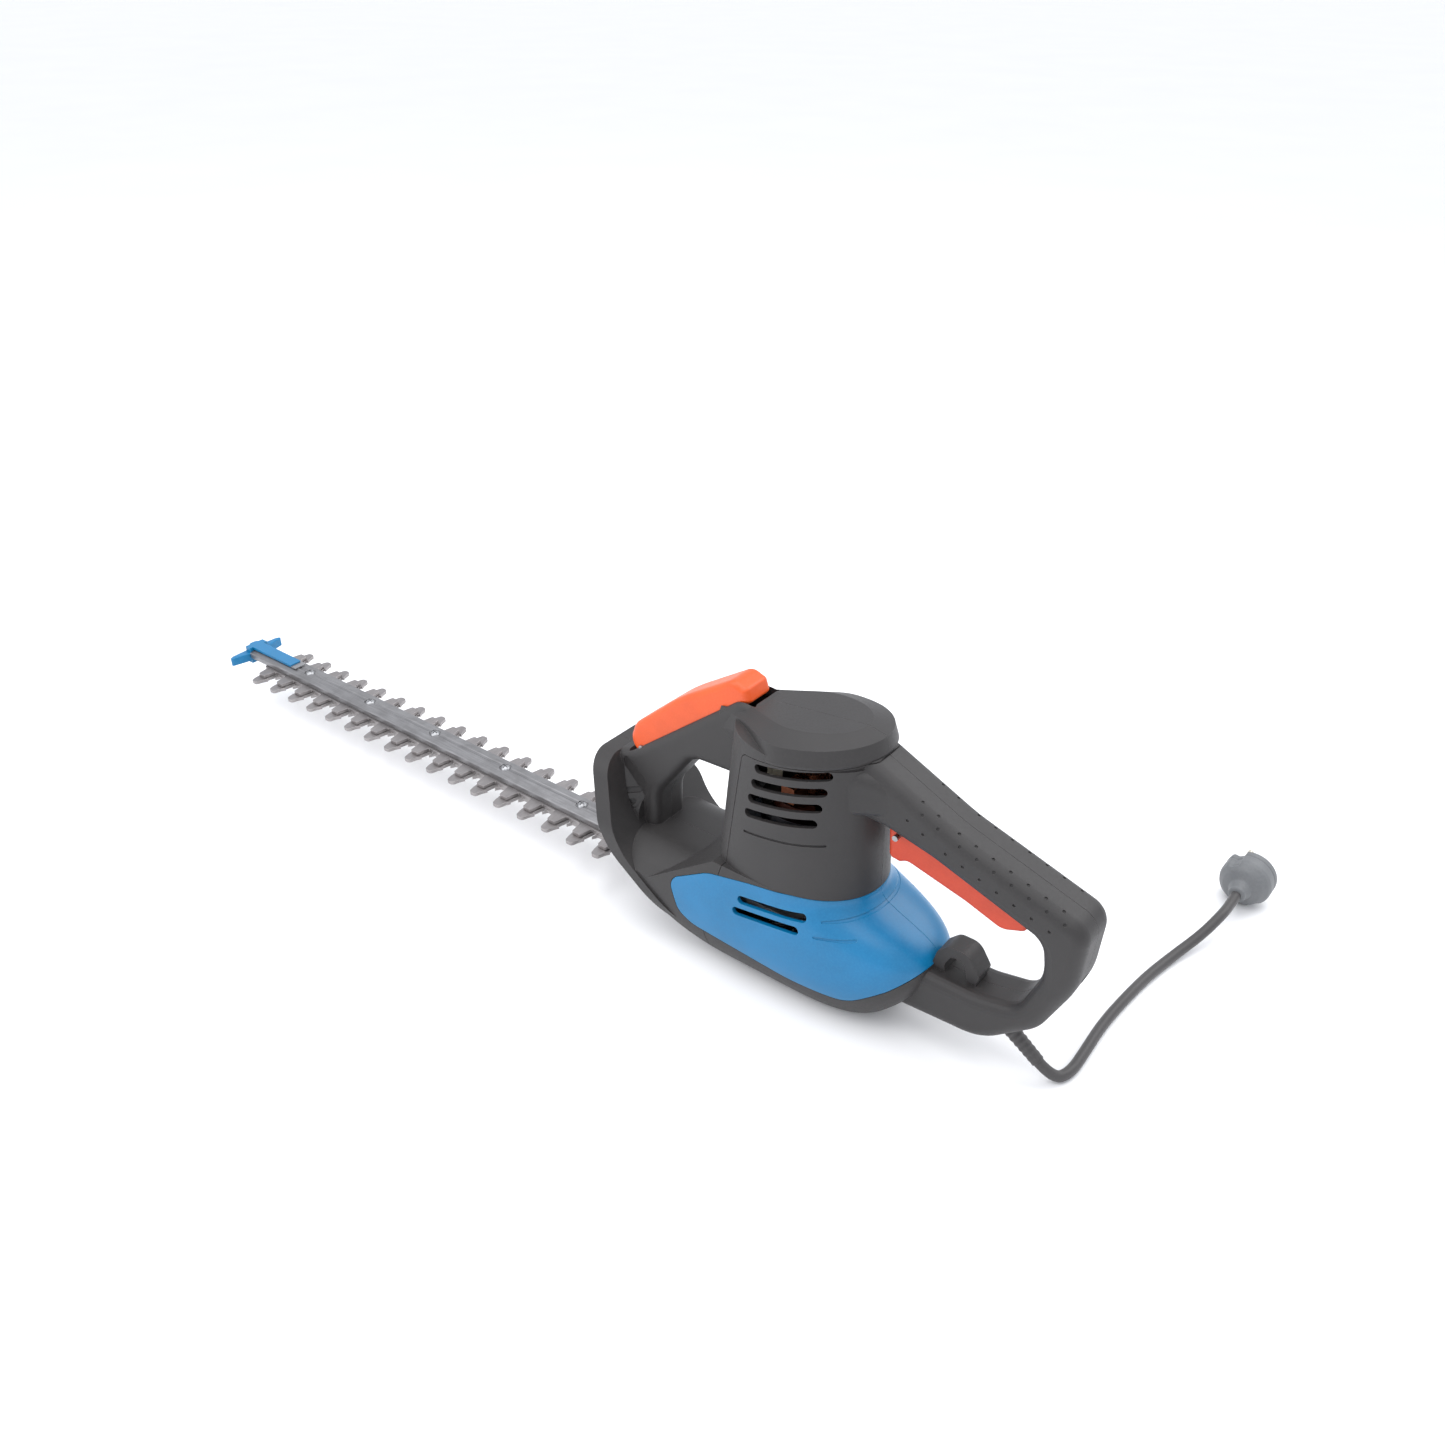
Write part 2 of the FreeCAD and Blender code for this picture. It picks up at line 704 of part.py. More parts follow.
def bar_frame(solid):
    """Moves a solid drawn along +X to the arch's sloping back."""
    start, slope = switch_bar_line(0)
    solid.rotate(V(0, 0, 0), V(0, 1, 0), -math.degrees(slope))
    solid.translate(start)
    return solid


def switch_bar_corners(gap, length=124.0):
    """The front switch bar from the side, along the arch's back; gap grows it all round."""
    return [(-4 - gap, -7 - gap, 2), (-7 - gap, 6, 12), (8, 15 + gap, 14), (62, 17.5 + gap, 160),
            (length - 6, 12 + gap, 9), (length + gap, 2, 3), (length - 3 + gap, -7 - gap, 2)]


def switch_bar_well():
    """The opening along the arch's back for the front switch bar."""
    gap = size("switch_bar_gap")
    corners = [(-11, -9, 0), (-11, 25, 0), (126.5, 25, 0), (125.5, -17, 0)]
    return bar_frame(slab(outline(corners, side_point), size("switch_bar_half_width") + gap))


def trigger_corners(gap):
    """The rear trigger from the side; gap grows it where it passes the grip's underside."""
    return [(287 - gap, 160, 3), (289 - gap, 131 - gap, 4), (297 + gap, 130 - gap, 3),
            (302 + gap, 133 - gap, 8), (345, 122 - gap, 60), (371, 113 - gap, 12), (386 + gap, 119 - gap, 5),
            (389 + gap, 130, 3), (340, 142, 60), (312, 150, 8), (304, 160, 3)]


def trigger_slot():
    """The opening in the grip's underside for the trigger."""
    gap = size("trigger_gap")
    corners = [(286.5, 170, 0), (286.5, 120, 0), (391, 105, 0), (391, 137, 0), (330, 158, 0)]
    return slab(outline(corners, side_point), size("trigger_half_width") + gap)


def cord_entry():
    """The hole in the underside of the rear handle for the cord's boot and its collar."""
    exit_point, direction = cord_exit()
    hole = Part.makeCylinder(size("boot_radius") + 0.1, 22, exit_point - direction * 14, direction)
    groove = Part.makeCylinder(size("boot_radius") + 2.6, 3.4, exit_point - direction * 11.2, direction)
    return hole.fuse(groove)


def lead_slot():
    """The slot in the handle's rear face that a loop of extension lead is pushed into."""
    corners = [(size("grip_rear") - 26, 72, 3), (size("grip_rear") + 12, 64, 0), (size("grip_rear") + 12, 96, 0),
               (size("grip_rear") - 20, 104, 3)]
    return slab(outline(corners, side_point), 4.5)


def cord_exit():
    """Where the cord leaves the rear handle, and its direction there."""
    point = V(size("grip_rear") - 47, 0, 34)
    direction = V(*CORD_ROUTE[0]) - point
    return point, direction.normalize()


def switch_bar_pin():
    """The pin that the front switch bar turns on."""
    reach = size("arch_half_width") - 2.4
    shaft = Part.makeCylinder(size("pivot_pin_radius"), 2 * reach, V(BAR_PIVOT[0], -reach, BAR_PIVOT[1]), V(0, 1, 0))
    return bar_frame(shaft)


def hook_solid():
    """The hook inside the rear hand hole that holds the extension lead."""
    half = 8.0
    corners = [(326, 58, 0), (330, 74, 4), (338, 82, 8), (352, 82, 10), (361, 68, 3), (359, 60, 0), (353, 60, 0),
               (350, 74, 5), (340, 75, 5), (336, 66, 3), (337, 58, 0)]
    return slab(outline(corners, side_point), half)


def case_screw_places():
    """Where the case screws stand, seen from the side."""
    rear = size("grip_rear")
    middle = size("tower_place")
    return [(rear - 27, 138), (rear - 36, 47), (rear - 116, 38), (middle + 27, size("cap_seam_level") + 6),
            (middle - 46, 132), (middle - 101, 56), (size("collar_foot") + 52, 112)]


def case_bosses(radius, low, high):
    """Cylinders across the body at the case screws."""
    return [Part.makeCylinder(radius, high - low, V(along, low, level), V(0, 1, 0))
            for along, level in case_screw_places()]


def body_shells():
    """The six shells: front, rear and lower cover, each left and right."""
    outside = outer_solid()
    skin = outside.cut(inner_solid())
    bosses = Part.makeCompound(case_bosses(size("case_screw_radius") + 4, -80, 80)).common(outside)
    skin = skin.fuse(bosses).cut(vent_tools())
    seat = size("case_screw_length") / 2
    skin = skin.cut(Part.makeCompound(case_bosses(size("case_screw_radius") + 2.2, seat, 90)))
    skin = skin.cut(Part.makeCompound(case_bosses(size("case_screw_radius"), -seat, seat + 1)))
    for tool in [blade_mouth(), switch_bar_well(), trigger_slot(), cord_entry(), lead_slot(),
                 hook_solid(), switch_bar_pin(), grip_dimples()] + shallow_grooves() + foot_panel():
        skin = skin.cut(tool)
    gap = size("seam") / 2
    front = front_region(gap)
    front_grown = front_region(-gap)
    cover = cover_region(gap)
    cover_grown = cover_region(-gap)
    regions = {
        "lower_cover": skin.common(cover),
        "front_housing": skin.common(front).cut(cover_grown),
        "rear_housing": skin.cut(front_grown).cut(cover_grown),
    }
    for name, region in regions.items():
        for side, word in ((-1, "left"), (1, "right")):
            half = region.common(half_space(side, gap / 2))
            keep(solid_feature(name + "_" + word, biggest_solid(half)), name + "_" + word)


def biggest_solid(shape):
    """The largest solid of a cut shape, without the slivers beside it."""
    return max(shape.Solids, key=lambda item: item.Volume)


body_shells()

# ---------------------------------------------------------------- blades and guide bar

def tooth_corners(kind):
    """One tooth about its own middle: (along, aside, radius), from the spine out and back."""
    root = size("spine_half_width") + 3.5
    if kind == "upper":
        reach = size("upper_tooth_reach")
        return [(-6.2, root, 1), (-4.0, reach, 1.4), (4.0, reach, 1.4), (6.4, root, 1)]
    reach = size("lower_tooth_reach")
    slope_end = size("tooth_pitch") - 14.5
    return [(-7.0, root, 1.5), (-4.8, reach - 6, 3), (-3.2, reach, 3.1), (3.4, reach, 3.1), (5.2, reach - 6.5, 3),
            (slope_end, root, 1.5)]


def blade_face(kind):
    """A whole blade in plan: teeth on both sides, a plain tail and the drive yoke."""
    pitch = size("tooth_pitch")
    first = size("first_tooth_place")
    count = int(size("tooth_count"))
    spine = size("spine_half_width")
    root = spine + 3.5
    travel = size("stroke_half")
    reach_x = size("eccentric_radius") + 2 * travel + size("blade_play")
    reach_y = size("eccentric_radius") + travel + size("blade_play")
    yoke = size("yoke_wall")
    crank = size("crank_place")
    last = first + pitch * count - pitch / 2
    one_side = [(first - 14, spine - 3, 3), (first - 10, root, 2)]
    for tooth in range(count):
        middle = first + pitch * tooth
        one_side += [(middle + along, aside, radius) for along, aside, radius in tooth_corners(kind)]
    one_side += [(last + 12, root, 3), (last + 16, spine, 3), (crank - reach_x - yoke - 6, spine, 8),
                 (crank - reach_x - yoke, reach_y + yoke, 6), (crank + reach_x + yoke, reach_y + yoke, 6)]
    corners = one_side + [(along, -aside, radius) for along, aside, radius in one_side[::-1]]
    return Part.Face(outline(corners, top_point))


def yoke_hole():
    """The oblong in a blade's tail that the eccentric disc turns in."""
    travel = size("stroke_half")
    reach_x = size("eccentric_radius") + 2 * travel + size("blade_play")
    reach_y = size("eccentric_radius") + travel + size("blade_play")
    crank = size("crank_place")
    corners = [(crank - reach_x, -reach_y, 6), (crank + reach_x, -reach_y, 6),
               (crank + reach_x, reach_y, 6), (crank - reach_x, reach_y, 6)]
    return Part.Face(outline(corners, top_point))


def screw_places():
    """The stations of the guide bar's screws."""
    first = size("first_bar_screw")
    return [first + size("bar_screw_pitch") * index for index in range(int(size("bar_screw_count")))]


def blade(name, kind, low):
    """One blade: the toothed strip less its screw slots, yoke oblong and guard slots."""
    face = blade_face(kind).cut(yoke_hole())
    half_slot = size("stroke_half") + size("bar_screw_radius") + 1
    wide = size("bar_screw_radius") + 0.5
    for station in screw_places():
        corners = [(station - half_slot, -wide, wide * 0.99), (station + half_slot, -wide, wide * 0.99),
                   (station + half_slot, wide, wide * 0.99), (station - half_slot, wide, wide * 0.99)]
        face = face.cut(Part.Face(outline(corners, top_point)))
    if kind == "lower":
        root = size("spine_half_width") + 2
        for tooth in range(int(size("tooth_count"))):
            middle = size("first_tooth_place") + size("tooth_pitch") * tooth
            for side in (-1, 1):
                corners = [(middle + 5.4, side * 22.5, 0.6), (middle + 8.8, side * 22.5, 0.6),
                           (middle + 11.6, side * root, 0.6), (middle + 7.8, side * root, 0.6)]
                face = face.cut(Part.Face(outline(corners, top_point)))
    solid = face.extrude(V(0, 0, size("blade_thickness")))
    solid.translate(V(0, 0, low))
    keep(solid_feature(name, biggest_solid(solid)), name)


def guide_bar():
    """The fixed bar over the blades: a low roofed channel with a foot plate at its rear."""
    low = size("blade_level") + size("blade_play") / 2 + size("blade_thickness") + size("blade_play")
    wide = size("bar_half_width")
    high = size("bar_height")
    wall = size("bar_wall")
    nose = size("bar_nose")
    tail = size("bar_tail")
    section = [(-wide, 0, 0), (-wide, 4.6, 1), (-2.2, high, 0.6), (-1.0, high - 0.7, 0.4), (1.0, high - 0.7, 0.4),
               (2.2, high, 0.6), (wide, 4.6, 1), (wide, 0, 0), (wide - wall, 0, 0), (wide - wall, 2.6, 1),
               (-wide + wall, 2.6, 1), (-wide + wall, 0, 0)]
    bar = Part.Face(outline(section, end_point)).extrude(V(tail - nose, 0, 0))
    bar.translate(V(nose, 0, low))
    foot_half = size("rail_place") + size("rail_half_width")
    foot = Part.makeBox(16, 2 * foot_half, 3, V(tail - 16, -foot_half, low))
    bar = bar.fuse(foot).removeSplitter()
    for station in screw_places():
        seat = Part.makeCylinder(5.2, 20, V(station, 0, low + high - 1.4))
        boss = Part.makeCylinder(5.2, high - 1.4, V(station, 0, low))
        hole = Part.makeCylinder(size("bar_screw_radius"), 30, V(station, 0, low - 5))
        bar = bar.fuse(boss).cut(seat).cut(hole)
    for side in (-1, 1):
        hole = Part.makeCylinder(size("bar_screw_radius"), 30, V(tail - 8, side * size("rail_place"), low - 5))
        bar = bar.cut(hole)
    keep(solid_feature("guide_bar", biggest_solid(bar)), "guide_bar")
    return low


def dome_screw(radius, head_radius, head_height, length):
    """A round-headed screw, head seat at the origin, shank downwards, cross recess on top."""
    rise = (head_radius ** 2 + head_height ** 2) / (2 * head_height)
    ball = Part.makeSphere(rise, V(0, 0, head_height - rise))
    head = ball.common(Part.makeCylinder(head_radius, head_height + 1))
    shank = Part.makeCylinder(radius, length, V(0, 0, -length))
    screw = head.fuse(shank)
    for turned in (0, 90):
        groove = Part.makeBox(head_radius * 1.2, radius * 0.35, head_height, V(-head_radius * 0.6, -radius * 0.175, head_height * 0.45))
        groove.rotate(V(0, 0, 0), V(0, 0, 1), turned)
        screw = screw.cut(groove)
    return screw.removeSplitter()


def hexagon(radius, height, bore):
    """A hexagonal nut with its lower face at the origin."""
    corners = []
    for index in range(6):
        angle = math.pi / 3 * index
        corners.append((radius * math.cos(angle), radius * math.sin(angle), 0))
    nut = Part.Face(outline(corners, top_point)).extrude(V(0, 0, height))
    return nut.cut(Part.makeCylinder(bore, height + 2, V(0, 0, -1)))


def group(name, shapes):
    """Several like solids in one node."""
    keep(solid_feature(name, Part.makeCompound(shapes)), name)


def copies(shape, spots):
    """The shape moved to each of the spots."""
    moved = []
    for spot in spots:
        item = shape.copy()
        item.translate(spot)
        moved.append(item)
    return moved


def blade_set():
    """Both blades, the bar, its screws, washers and nuts."""
    half_play = size("blade_play") / 2
    thick = size("blade_thickness")
    level = size("blade_level")
    blade("upper_blade", "upper", level + half_play)
    blade("lower_blade", "lower", level - half_play - thick)
    bar_low = guide_bar()
    bottom = level - half_play - thick - size("blade_play")
    seat = bar_low + size("bar_height") - 1.4
    radius = size("bar_screw_radius")
    length = seat - bottom + 5.4
    washer_height = 1.2
    nut_height = 4.0
    stations = screw_places()
    screw = dome_screw(radius - 0.05, 4.2, 2.6, length)
    group("bar_screws", copies(screw, [V(x, 0, seat) for x in stations]))
    washer = Part.makeCylinder(6.5, washer_height).cut(Part.makeCylinder(radius, 9, V(0, 0, -1)))
    group("bar_washers", copies(washer, [V(x, 0, bottom - washer_height) for x in stations]))
    nut = hexagon(4.4, nut_height, radius)
    group("bar_nuts", copies(nut, [V(x, 0, bottom - washer_height - nut_height) for x in stations]))
    mount = dome_screw(radius - 0.3, 4.2, 2.4, 14)
    spots = [V(size("bar_tail") - 8, side * size("rail_place"), bar_low + 3) for side in (-1, 1)]
    group("bar_mount_screws", copies(mount, spots))
    return bar_low


def tip_guard(bar_low):
    """The bumper at the nose: a saddle on the bar and two swept wings, and its spring clip."""
    nose = size("bar_nose")
    wide = size("bar_half_width")
    high = size("bar_height")
    top = bar_low + high
    length = 58.0
    saddle = [(nose - 9.5, -6, 5), (nose + length, -5.6, 1), (nose + length, 5.6, 1), (nose - 9.5, 6, 5)]
    plate = Part.Face(outline(saddle, top_point)).extrude(V(0, 0, 2.4))
    plate.translate(V(0, 0, top))
    nosepiece = Part.makeBox(9.2, 2 * wide - 2, high + 9, V(nose - 9.5, -wide + 1, bar_low - 6.6))
    nosepiece = nosepiece.makeFillet(3, [edge for edge in nosepiece.Edges if edge.BoundBox.XMax < nose - 9])
    wings = [(nose - 9.5, -5, 4), (nose - 8.6, -24, 4), (nose - 6.6, -28.4, 1.6), (nose - 4.2, -27, 2),
             (nose - 0.3, -11, 3), (nose - 0.3, 11, 3), (nose - 4.2, 27, 2), (nose - 6.6, 28.4, 1.6),
             (nose - 8.6, 24, 4), (nose - 9.5, 5, 4)]
    wing = Part.Face(outline(wings, top_point)).extrude(V(0, 0, 8))
    wing = wing.makeFillet(1.2, [edge for edge in wing.Edges if edge.BoundBox.ZMin > 7.9])
    wing.translate(V(0, 0, bar_low - 3.5))
    guard = plate.fuse(nosepiece).fuse(wing).removeSplitter()
    keep(solid_feature("tip_guard", biggest_solid(guard)), "tip_guard")
    clip = block("tip_clip", "6.5", "11.4", "1.3", "bar_nose + %g" % (length + 0.2), "-5.7", "%g" % top)
    keep(clip, "tip_clip")


bar_level = blade_set()
tip_guard(bar_level)


# ---------------------------------------------------------------- drive

def gear_face(teeth, bore):
    """A spur gear in plan: involute flanks, thinned by the backlash."""
    module = size("gear_module")
    pitch_radius = module * teeth / 2
    base = pitch_radius * math.cos(math.radians(20))
    tip = pitch_radius + module
    foot = pitch_radius - 1.25 * module
    half_tooth = math.pi / (2 * teeth) - size("gear_backlash") / (2 * pitch_radius)
    at_pitch = math.tan(math.radians(20)) - math.radians(20)
    edges = []
    previous = None
    start = None
    for index in range(teeth):
        middle = 2 * math.pi * index / teeth
        flank = []
        for step in range(5):
            radius = max(base, foot) + (tip - max(base, foot)) * step / 4
            slope = math.acos(min(1.0, base / radius))
            flank.append((radius, half_tooth + at_pitch - (math.tan(slope) - slope)))
        left = [V(r * math.cos(middle - a), r * math.sin(middle - a), 0) for r, a in flank]
        right = [V(r * math.cos(middle + a), r * math.sin(middle + a), 0) for r, a in flank[::-1]]
        foot_left = V(foot * math.cos(middle - flank[0][1]), foot * math.sin(middle - flank[0][1]), 0)
        foot_right = V(foot * math.cos(middle + flank[0][1]), foot * math.sin(middle + flank[0][1]), 0)
        path = [foot_left] + left + right + [foot_right]
        if previous is not None:
            edges.append(Part.LineSegment(previous, path[0]).toShape())
        for here, there in zip(path[:-1], path[1:]):
            if here.distanceToPoint(there) > 1e-6:
                edges.append(Part.LineSegment(here, there).toShape())
        start = start or path[0]
        previous = path[-1]
    edges.append(Part.LineSegment(previous, start).toShape())
    face = Part.Face(Part.Wire(edges))
    return face.cut(Part.Face(Part.Wire([Part.Circle(V(0, 0, 0), V(0, 0, 1), bore).toShape()])))


def motor_place():
    """The motor's axis: the gear pair's centre distance behind the crank."""
    teeth = size("gear_teeth") + size("pinion_teeth")
    return size("crank_place") + size("gear_module") * teeth / 2


def drive():
    """Drive gear, its shaft with two eccentric discs, and the bearings that carry it."""
    crank = size("crank_place")
    level = size("gear_level")
    thick = size("gear_thickness")
    gear = gear_face(int(size("gear_teeth")), size("crank_shaft_radius")).extrude(V(0, 0, thick))
    for index in range(6):
        angle = math.pi / 3 * index
        gear = gear.cut(Part.makeCylinder(5, 20, V(15 * math.cos(angle), 15 * math.sin(angle), -5)))
    gear.translate(V(crank, 0, level))
    keep(solid_feature("drive_gear", gear), "drive_gear")
    shaft = cylinder("crank_shaft", "crank_shaft_radius", "46", "crank_place", "0", "18")
    keep(shaft, "crank_shaft")
    for name, throw, level in (("upper_eccentric", "stroke_half", "blade_level + blade_play / 2"),
                               ("lower_eccentric", "-stroke_half",
                                "blade_level - blade_play / 2 - blade_thickness")):
        disc = cylinder(name + "_disc", "eccentric_radius", "blade_thickness", "crank_place", throw, level)
        bore = cylinder(name + "_bore", "crank_shaft_radius", "80", "crank_place", "0", "0")
        keep(cut(name, disc, bore), name)


def gear_case():
    """The plate under the blades and the plate over the gear, with the rails for the bar."""
    crank = size("crank_place")
    gap = size("running_gap")
    shaft = size("crank_shaft_radius") + gap
    rail_top = size("blade_level") + size("blade_play") * 1.5 + size("blade_thickness")
    pillar_top = size("gear_level") + size("gear_thickness") + 3
    base = Part.makeBox(104, 66, 4, V(crank - 33, -33, 21))
    corner_edges = [edge for edge in base.Edges if abs(edge.BoundBox.ZLength - 4) < 0.01]
    base = base.makeFillet(12, corner_edges)
    base = base.fuse(Part.makeCylinder(12, 6, V(crank, 0, 18)))
    rail_place = size("rail_place")
    rail_half = size("rail_half_width")
    for side in (-1, 1):
        rail = Part.makeBox(34, 2 * rail_half, rail_top - 24,
                            V(size("bar_tail") - 14, side * rail_place - rail_half, 24))
        base = base.fuse(rail)
        base = base.fuse(Part.makeCylinder(4.5, pillar_top - 24, V(crank - 26, side * rail_place, 24)))
        base = base.fuse(Part.makeCylinder(4.5, pillar_top - 24, V(crank + 47.5, side * rail_place, 24)))
        base = base.cut(Part.makeCylinder(size("bar_screw_radius") - 0.3, 11.5,
                                          V(size("bar_tail") - 8, side * rail_place, rail_top - 11)))
    base = base.cut(Part.makeCylinder(shaft, 80, V(crank, 0, 0))).removeSplitter()
    keep(solid_feature("gear_case_base", biggest_solid(base)), "gear_case_base")
    top_level = pillar_top
    corners = [(crank - 34, -33, 10), (crank + 66, -33, 14), (crank + 66, 33, 14), (crank - 34, 33, 10)]
    cover = Part.Face(outline(corners, top_point)).extrude(V(0, 0, 4))
    cover.translate(V(0, 0, top_level))
    cover = cover.fuse(Part.makeCylinder(size("bearing_radius") + 4, size("bearing_width") + 6,
                                         V(motor_place(), 0, top_level)))
    cover = cover.cut(Part.makeCylinder(size("bearing_radius"), 20,
                                        V(motor_place(), 0, size("lower_bearing_level"))))
    cover = cover.cut(Part.makeCylinder(size("bearing_radius") - 3, 80, V(motor_place(), 0, 0)))
    cover = cover.cut(Part.makeCylinder(shaft, 80, V(crank, 0, 0)))
    keep(solid_feature("gear_case_cover", biggest_solid(cover)), "gear_case_cover")
    case_screw = dome_screw(2.0, 3.6, 2.0, 8)
    spots = []
    for side in (-1, 1):
        spots.append(V(crank + 47.5, side * rail_place, top_level + 4))
        spots.append(V(crank - 26, side * rail_place, top_level + 4))
    keepers = copies(case_screw, spots)
    bores = [Part.makeCylinder(2.0, 12, spot + V(0, 0, -10)) for spot in spots]
    for piece in SUBPARTS:
        if piece.Label in ("gear_case_base", "gear_case_cover"):
            piece.Shape = biggest_solid(piece.Shape.cut(Part.makeCompound(bores)))
    group("gear_case_screws", keepers)


drive()
gear_case()


# ---------------------------------------------------------------- motor

def bearing(name, level):
    """A ball bearing drawn as its outer ring, inner ring and balls."""
    radius = size("bearing_radius")
    width = size("bearing_width")
    shaft = size("armature_shaft_radius")
    outer = Part.makeCylinder(radius, width).cut(Part.makeCylinder(radius - 2, width + 2, V(0, 0, -1)))
    inner = Part.makeCylinder(shaft + 2.2, width).cut(
        Part.makeCylinder(shaft + size("running_gap"), width + 2, V(0, 0, -1)))
    middle = (radius - 2 + shaft + 2.2) / 2
    ball = (radius - 2 - shaft - 2.2) / 2
    pieces = [outer, inner]
    for index in range(8):
        angle = 2 * math.pi * index / 8
        pieces.append(Part.makeSphere(ball - 0.02, V(middle * math.cos(angle), middle * math.sin(angle), width / 2)))
    group(name, copies(Part.makeCompound(pieces), [V(motor_place(), 0, level)]))


MOTOR_AXIS = "crank_place + gear_module * (gear_teeth + pinion_teeth) / 2"


def armature():
    """The motor's shaft, its pinion, core and commutator."""
    shaft = "armature_shaft_radius"
    neck = cylinder("shaft_neck", "pinion_bore", "gear_thickness + 1.5", MOTOR_AXIS, "0", "gear_level - 1")
    main = cylinder("shaft_main", shaft, "upper_bearing_level + bearing_width + 0.5 - gear_level - gear_thickness",
                    MOTOR_AXIS, "0", "gear_level + gear_thickness + 0.5")
    keep(fuse("armature_shaft", neck, main), "armature_shaft")
    pinion = gear_face(int(size("pinion_teeth")), size("pinion_bore"))
    pinion.rotate(V(0, 0, 0), V(0, 0, 1), 180 + 180 / size("pinion_teeth"))
    pinion = pinion.extrude(V(0, 0, size("gear_thickness") + 1))
    pinion.translate(V(motor_place(), 0, size("gear_level") - 0.5))
    keep(solid_feature("motor_pinion", pinion), "motor_pinion")
    core = slotted_drum("armature_core", "armature_radius", shaft, "stator_height", "6.4", "1.8", 12)
    place(core, MOTOR_AXIS, "0", "stator_level")
    keep(core, "armature_core")
    ring = slotted_drum("commutator", "commutator_radius", shaft, "14", "1.4", "0.5", 24)
    place(ring, MOTOR_AXIS, "0", "commutator_level")
    keep(ring, "commutator")


def fan():
    """The cooling fan: a disc with curved blades on its upper face."""
    radius = size("fan_radius")
    hub = size("armature_shaft_radius")
    disc = Part.makeCylinder(radius, 1.6).fuse(Part.makeCylinder(hub + 4, 9))
    for index in range(14):
        vane = Part.makeBox(radius - hub - 5, 1.4, 8, V(hub + 3.5, -0.7, 0.5))
        vane.rotate(V(hub + 3.5, 0, 0), V(0, 0, 1), 12)
        vane.rotate(V(0, 0, 0), V(0, 0, 1), 360 / 14 * index)
        disc = disc.fuse(vane)
    disc = disc.common(Part.makeCylinder(radius, 12))
    return disc.cut(Part.makeCylinder(hub, 20, V(0, 0, -1)))


def torus_winding(inner, outer, height):
    """A ring of winding with rounded edges."""
    ring = Part.makeCylinder(outer, height).cut(Part.makeCylinder(inner, height + 2, V(0, 0, -1)))
    edges = [edge for edge in ring.Edges if edge.Curve.TypeId == "Part::GeomCircle"]
    return ring.makeFillet(height * 0.3, edges)


def motor():
    """The universal motor, from the pinion at the bottom to the upper bearing."""
    armature()
    axis = motor_place()
    shaft = size("armature_shaft_radius")
    heads = []
    for level in (size("stator_level") - 7.2, size("stator_level") + size("stator_height") + 0.2):
        heads.append(torus_winding(shaft + 0.1, size("armature_radius") - 3, 7))
        heads[-1].translate(V(axis, 0, level))
    group("armature_windings", heads)
    wheel = fan()
    wheel.translate(V(axis, 0, size("fan_level")))
    keep(solid_feature("cooling_fan", wheel), "cooling_fan")
    bore = size("armature_radius") + size("air_gap")
    height = size("stator_height")
    stack = Part.makeCylinder(size("stator_radius"), height).cut(Part.makeCylinder(bore, height + 2, V(0, 0, -1)))
    pockets = []
    for side in (0, 180):
        pocket = Part.makeCylinder(size("stator_radius") - 6, height + 2, V(0, 0, -1), V(0, 0, 1), 80)
        pocket = pocket.cut(Part.makeCylinder(bore + 3, height + 2, V(0, 0, -1)))
        pocket.rotate(V(0, 0, 0), V(0, 0, 1), side + 50)
        pockets.append(pocket)
    stator = stack.cut(Part.makeCompound(pockets))
    stator.translate(V(axis, 0, size("stator_level")))
    keep(solid_feature("stator_core", biggest_solid(stator)), "stator_core")
    coils = []
    for side in (0, 180):
        coil = Part.makeCylinder(size("stator_radius") - 6.4, height + 14, V(0, 0, -7), V(0, 0, 1), 76)
        coil = coil.cut(Part.makeCylinder(bore + 3.4, height + 20, V(0, 0, -10)))
        coil.rotate(V(0, 0, 0), V(0, 0, 1), side + 52)
        coil.translate(V(axis, 0, size("stator_level")))
        coils.append(coil)
    group("field_coils", coils)
    bearing("lower_bearing", size("lower_bearing_level"))
    bearing("upper_bearing", size("upper_bearing_level"))


def bearing_bridge():
    """The bridge over the stator that holds the upper bearing."""
    level = "upper_bearing_level"
    frame = [
        block("bridge_arm", "2 * stator_radius - 2", "16", "4", MOTOR_AXIS + " - stator_radius + 1", "-8", level),
        cylinder("bridge_ring", "bearing_radius + 3", "bearing_width + 1", MOTOR_AXIS, "0", level + " - 0.5"),
    ]
    for name, side in (("front", "-"), ("rear", "+")):
        frame.append(block("bridge_leg_" + name, "4", "12", level + " + 1 - stator_level - stator_height",
                           MOTOR_AXIS + side + "(stator_radius - 3) - 2", "-6", "stator_level + stator_height"))
    bores = [
        cylinder("bridge_seat", "bearing_radius", "40", MOTOR_AXIS, "0", level),
        cylinder("bridge_throat", "bearing_radius - 3", "60", MOTOR_AXIS, "0", level + " - 20"),
    ]
    bridge = cut("bearing_bridge", fuse("bridge_frame", *frame), fuse("bridge_bores", *bores))
    keep(bridge, "bearing_bridge")


def brushes():
    """Two carbon brushes in their holders, on both sides of the commutator."""
    carbons = []
    holders = []
    for side, carbon_low, holder_low in (
            ("left", "-commutator_radius - 12.3", "-commutator_radius - 18.3"),
            ("right", "commutator_radius + 0.3", "commutator_radius + 2.3")):
        carbon = ("6", "12", "8", MOTOR_AXIS + " - 3", carbon_low, "commutator_level + 3")
        carbons.append(block("carbon_" + side, *carbon))
        outer = block("holder_" + side, "10", "16", "12", MOTOR_AXIS + " - 5", holder_low, "commutator_level + 1")
        holders.append(cut("holder_shell_" + side, outer, block("carbon_space_" + side, *carbon)))
    keep(compound("carbon_brushes", carbons), "carbon_brushes")
    keep(compound("brush_holders", holders), "brush_holders")


